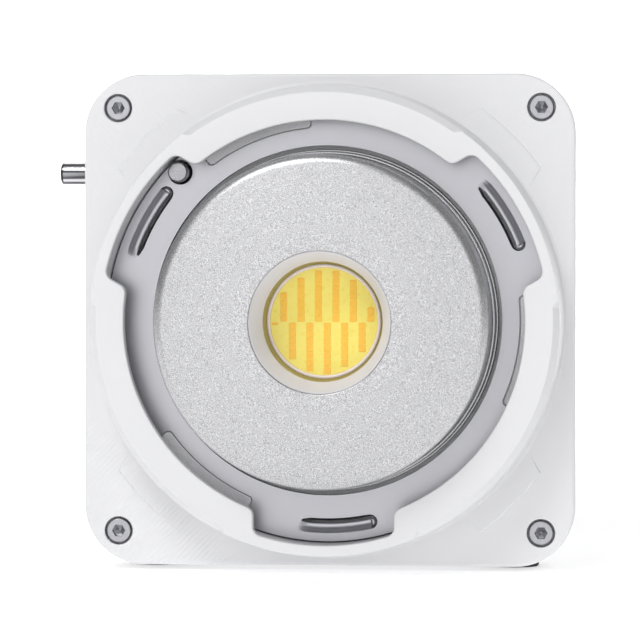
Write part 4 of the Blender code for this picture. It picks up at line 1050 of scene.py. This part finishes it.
def power_inlet():
    """The inlet's metal shell: a flange on the panel, rings for a thread inside, and a key slot."""
    barrel_r, flange_r, thread_r, groove_r = 8.8, 11.5, 7.2, 7.55
    bottom, floor, front, back = 108.0, 110.0, REAR_PANEL + 0.3, REAR_PANEL + 1.6
    profile = [(0.0, bottom), (barrel_r, bottom), (barrel_r, front), (flange_r, front)]
    profile += [(flange_r, back - 0.4), (11.1, back), (8.2, back), (8.0, back), (7.5, back - 0.35)]
    for i in range(5):
        top = back - 0.9 - 1.2 * i
        profile += [(thread_r, top), (groove_r, top - 0.3), (groove_r, top - 0.6), (thread_r, top - 0.9)]
    profile += [(thread_r, floor), (0.0, floor)]
    shell = new_object("inlet_shell", backwards(lathe(profile, 96, (INLET_X, INLET_Y))))
    key = rounded_rectangle(1.8, 2.2, 0.3, 3, (INLET_X, INLET_Y + 8.0))
    combine(shell, backwards(stacked((key, 114.0), (key, 122.0))))
    place(shell, "satin_steel", "power_inlet_shell")


def base_plate():
    """The tripod plate, built lying flat with its underside towards +z, then turned to face down."""
    low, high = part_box("base_plate")
    width, depth = (high.x - low.x) / MM, (high.y - low.y) / MM
    down = Matrix.Rotation(math.pi, 4, "X") @ Matrix.Scale(MM, 4)
    thickness = shell_low.z / MM - 0.3
    slab = filleted(rectangle_outline(width, depth, 3.0, 8), -thickness, 0.0, 0.5, 4)
    plate = new_object("tripod_plate", slab, down)
    boss = rounded_rectangle(24.0, 40.0, 2.0, 4)
    combine(plate, stacked((boss, -12.0), (boss, -0.6)), "UNION", down)
    bottom, first, last, crest = -9.9, -9.0, -1.4, 0.35
    sockets = []
    for radius, y, pitch in ((4.6, 9.0, 1.6), (3.1, -9.0, 1.27)):
        profile = [(radius, bottom)]
        z = first
        while z < last:
            profile.append((radius - 0.02, z))
            profile += [(radius - crest, z + pitch * share) for share in (0.45, 0.55)]
            z += pitch
        profile += [(radius - 0.02, -0.7), (radius + 0.45, 0.0), (radius + 0.5, 1.0)]
        sockets.append(lathe(profile, 64, (0.0, y)))
    combine(plate, merged(*sockets), "DIFFERENCE", down)
    place(plate, "aluminium", "base_plate")


def rubber_feet():
    """Round feet with a hollow underside."""
    for row in ("front", "back"):
        for side in ("left", "right"):
            node_name = f"rubber_foot_{row}_{side}"
            low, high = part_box(node_name)
            centre = Matrix.Translation(((low.x + high.x) / 2, (low.y + high.y) / 2, 0.0))
            radius, height = (high.x - low.x) / 2 / MM, (high.z - low.z) / MM
            profile = [(0.0, height), (radius, height), (radius, 0.5), (radius - 0.12, 0.2)]
            profile += [(radius - 0.5, 0.0), (2.4, 0.0), (2.1, 0.25), (2.0, 0.8), (0.0, 0.8)]
            foot = new_object(f"{row}_{side}_foot", lathe(profile, 64), centre @ Matrix.Scale(MM, 4))
            place(foot, "rubber", node_name)


def lock_pin_spring():
    """The coil behind the lock pin, built at one length; the real coil shortens as the pin goes back."""
    low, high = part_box("lock_pin_spring")
    wire, coil_r, turns, per_turn = 0.4, 3.4, 5, 24
    start, end = low.y / MM + wire, high.y / MM - wire
    count = turns * per_turn
    path = []
    for i in range(count + 1):
        x, z = polar(coil_r, 360.0 * i / per_turn, (PIN_X, AXIS_HEIGHT / MM + PIN_Y))
        path.append((x * MM, (start + (end - start) * i / count) * MM, z * MM))
    settings = {"bevel_depth": wire * MM, "bevel_resolution": 3, "use_fill_caps": True}
    mesh = curve_mesh("pin_spring_wire", "3D", [path], False, **settings)
    face_out(mesh)
    spring = add_object("pin_spring_coil", mesh)
    place(spring, "satin_steel", "lock_pin_spring")
    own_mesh(spring)


front_bezel()
spring_plate()
backing_ring()
lock_pin()
release_rod()
lock_pin_spring()
dome_cover()
reflector_cone()
led()
body_shell()
rear_cover()
display()
for corner_name in CORNERS:
    for end in ("front", "rear"):
        cap_screw(end, corner_name)
knob("intensity", -1)
knob("colour_temperature", 1)
dial_ticks()
push_button("mode", -1)
push_button("channel", 0)
push_button("effects", 1)
power_inlet()
base_plate()
rubber_feet()

# CAD nodes whose shape is right keep it, with the detailed material of their slot
SLOT_OF = {row["node"]: row["material_slot"] for row in frame["record"]["subparts"]}
for node_name, cad_object in frame["nodes"].items():
    if cad_object.hide_render:
        continue
    cad_object.data.materials.clear()
    cad_object.data.materials.append(FINISH[SLOT_OF[node_name]])
    weld = cad_object.modifiers.new("weld", "WELD")
    weld.merge_threshold = 1e-5
    bevel(cad_object, 0.15, 2)


# Stage, soft lights and the camera


def stage():
    """Pale paper that lies flat and bends up behind."""
    material, _, shader = new_material("stage_paper")
    feed(shader.inputs["Base Color"], (0.93, 0.93, 0.93, 1.0))
    feed(shader.inputs["Roughness"], 0.9)
    feed(shader.inputs["Emission Color"], (1.0, 1.0, 1.0, 1.0))
    feed(shader.inputs["Emission Strength"], 0.38)
    half_width, near, far, top, bend = 4.0, -3.0, 2.2, 3.5, 0.8
    profile = [(near, 0.0), *arc(bend, -90.0, 0.0, 12, (far - bend, bend)), (far, top)]
    points = [(x, y, z) for y, z in profile for x in (-half_width, half_width)]
    faces = [(2 * i, 2 * i + 1, 2 * i + 3, 2 * i + 2) for i in range(len(profile) - 1)]
    mesh = bpy.data.meshes.new("studio_floor")
    mesh.from_pydata(points, [], faces)
    mesh.shade_smooth()
    mesh.materials.append(material)
    add_object("studio_floor", mesh)


def area_light(name, location, size, power, target, spread=180.0):
    data = bpy.data.lights.new(name, "AREA")
    data.shape = "RECTANGLE"
    data.size, data.size_y = size
    data.spread = math.radians(spread)
    data.energy = power
    lamp = add_object(name, data)
    lamp.location = location
    lamp.rotation_euler = (Vector(target) - Vector(location)).to_track_quat("-Z", "Y").to_euler()


def lights():
    world = bpy.data.worlds.new("studio")
    bpy.context.scene.world = world
    world.use_nodes = True
    background = world.node_tree.nodes["Background"]
    feed(background.inputs["Color"], (1.0, 1.0, 1.0, 1.0))
    feed(background.inputs["Strength"], 0.27)
    target = (0.0, PLATE_FACE_Y, AXIS_HEIGHT)
    area_light("key", (-0.6, -1.4, 1.75), (0.8, 0.8), 20.0, target)
    area_light("front", (-0.5, -2.3, 0.65), (1.5, 1.2), 6.5, target)
    area_light("right_fill", (0.9, -2.0, 0.6), (0.8, 0.8), 3.5, target)
    area_light("rear", (0.9, 1.6, 1.6), (1.2, 1.2), 7.0, (0.0, 0.05, 0.06))
    area_light("backdrop", (0.0, 1.3, 2.4), (4.0, 1.2), 26.0, (0.0, 1.4, 0.0), 45.0)


def camera():
    """Nearly straight on, from a little to the right of the optical axis and just above it."""
    distance, right, above = 1.0, 0.0859, 0.0243
    aim = Vector((-0.0022, PLATE_FACE_Y, AXIS_HEIGHT))
    data = bpy.data.cameras.new("camera")
    data.sensor_width = 36.0
    data.lens = 225.3
    data.clip_start = 0.05
    view = add_object("camera", data)
    view.location = (right, PLATE_FACE_Y - distance, AXIS_HEIGHT + above)
    view.rotation_euler = (aim - view.location).to_track_quat("-Z", "Y").to_euler()
    bpy.context.scene.camera = view


stage()
lights()
camera()
bpy.context.scene.view_settings.view_transform = "Standard"
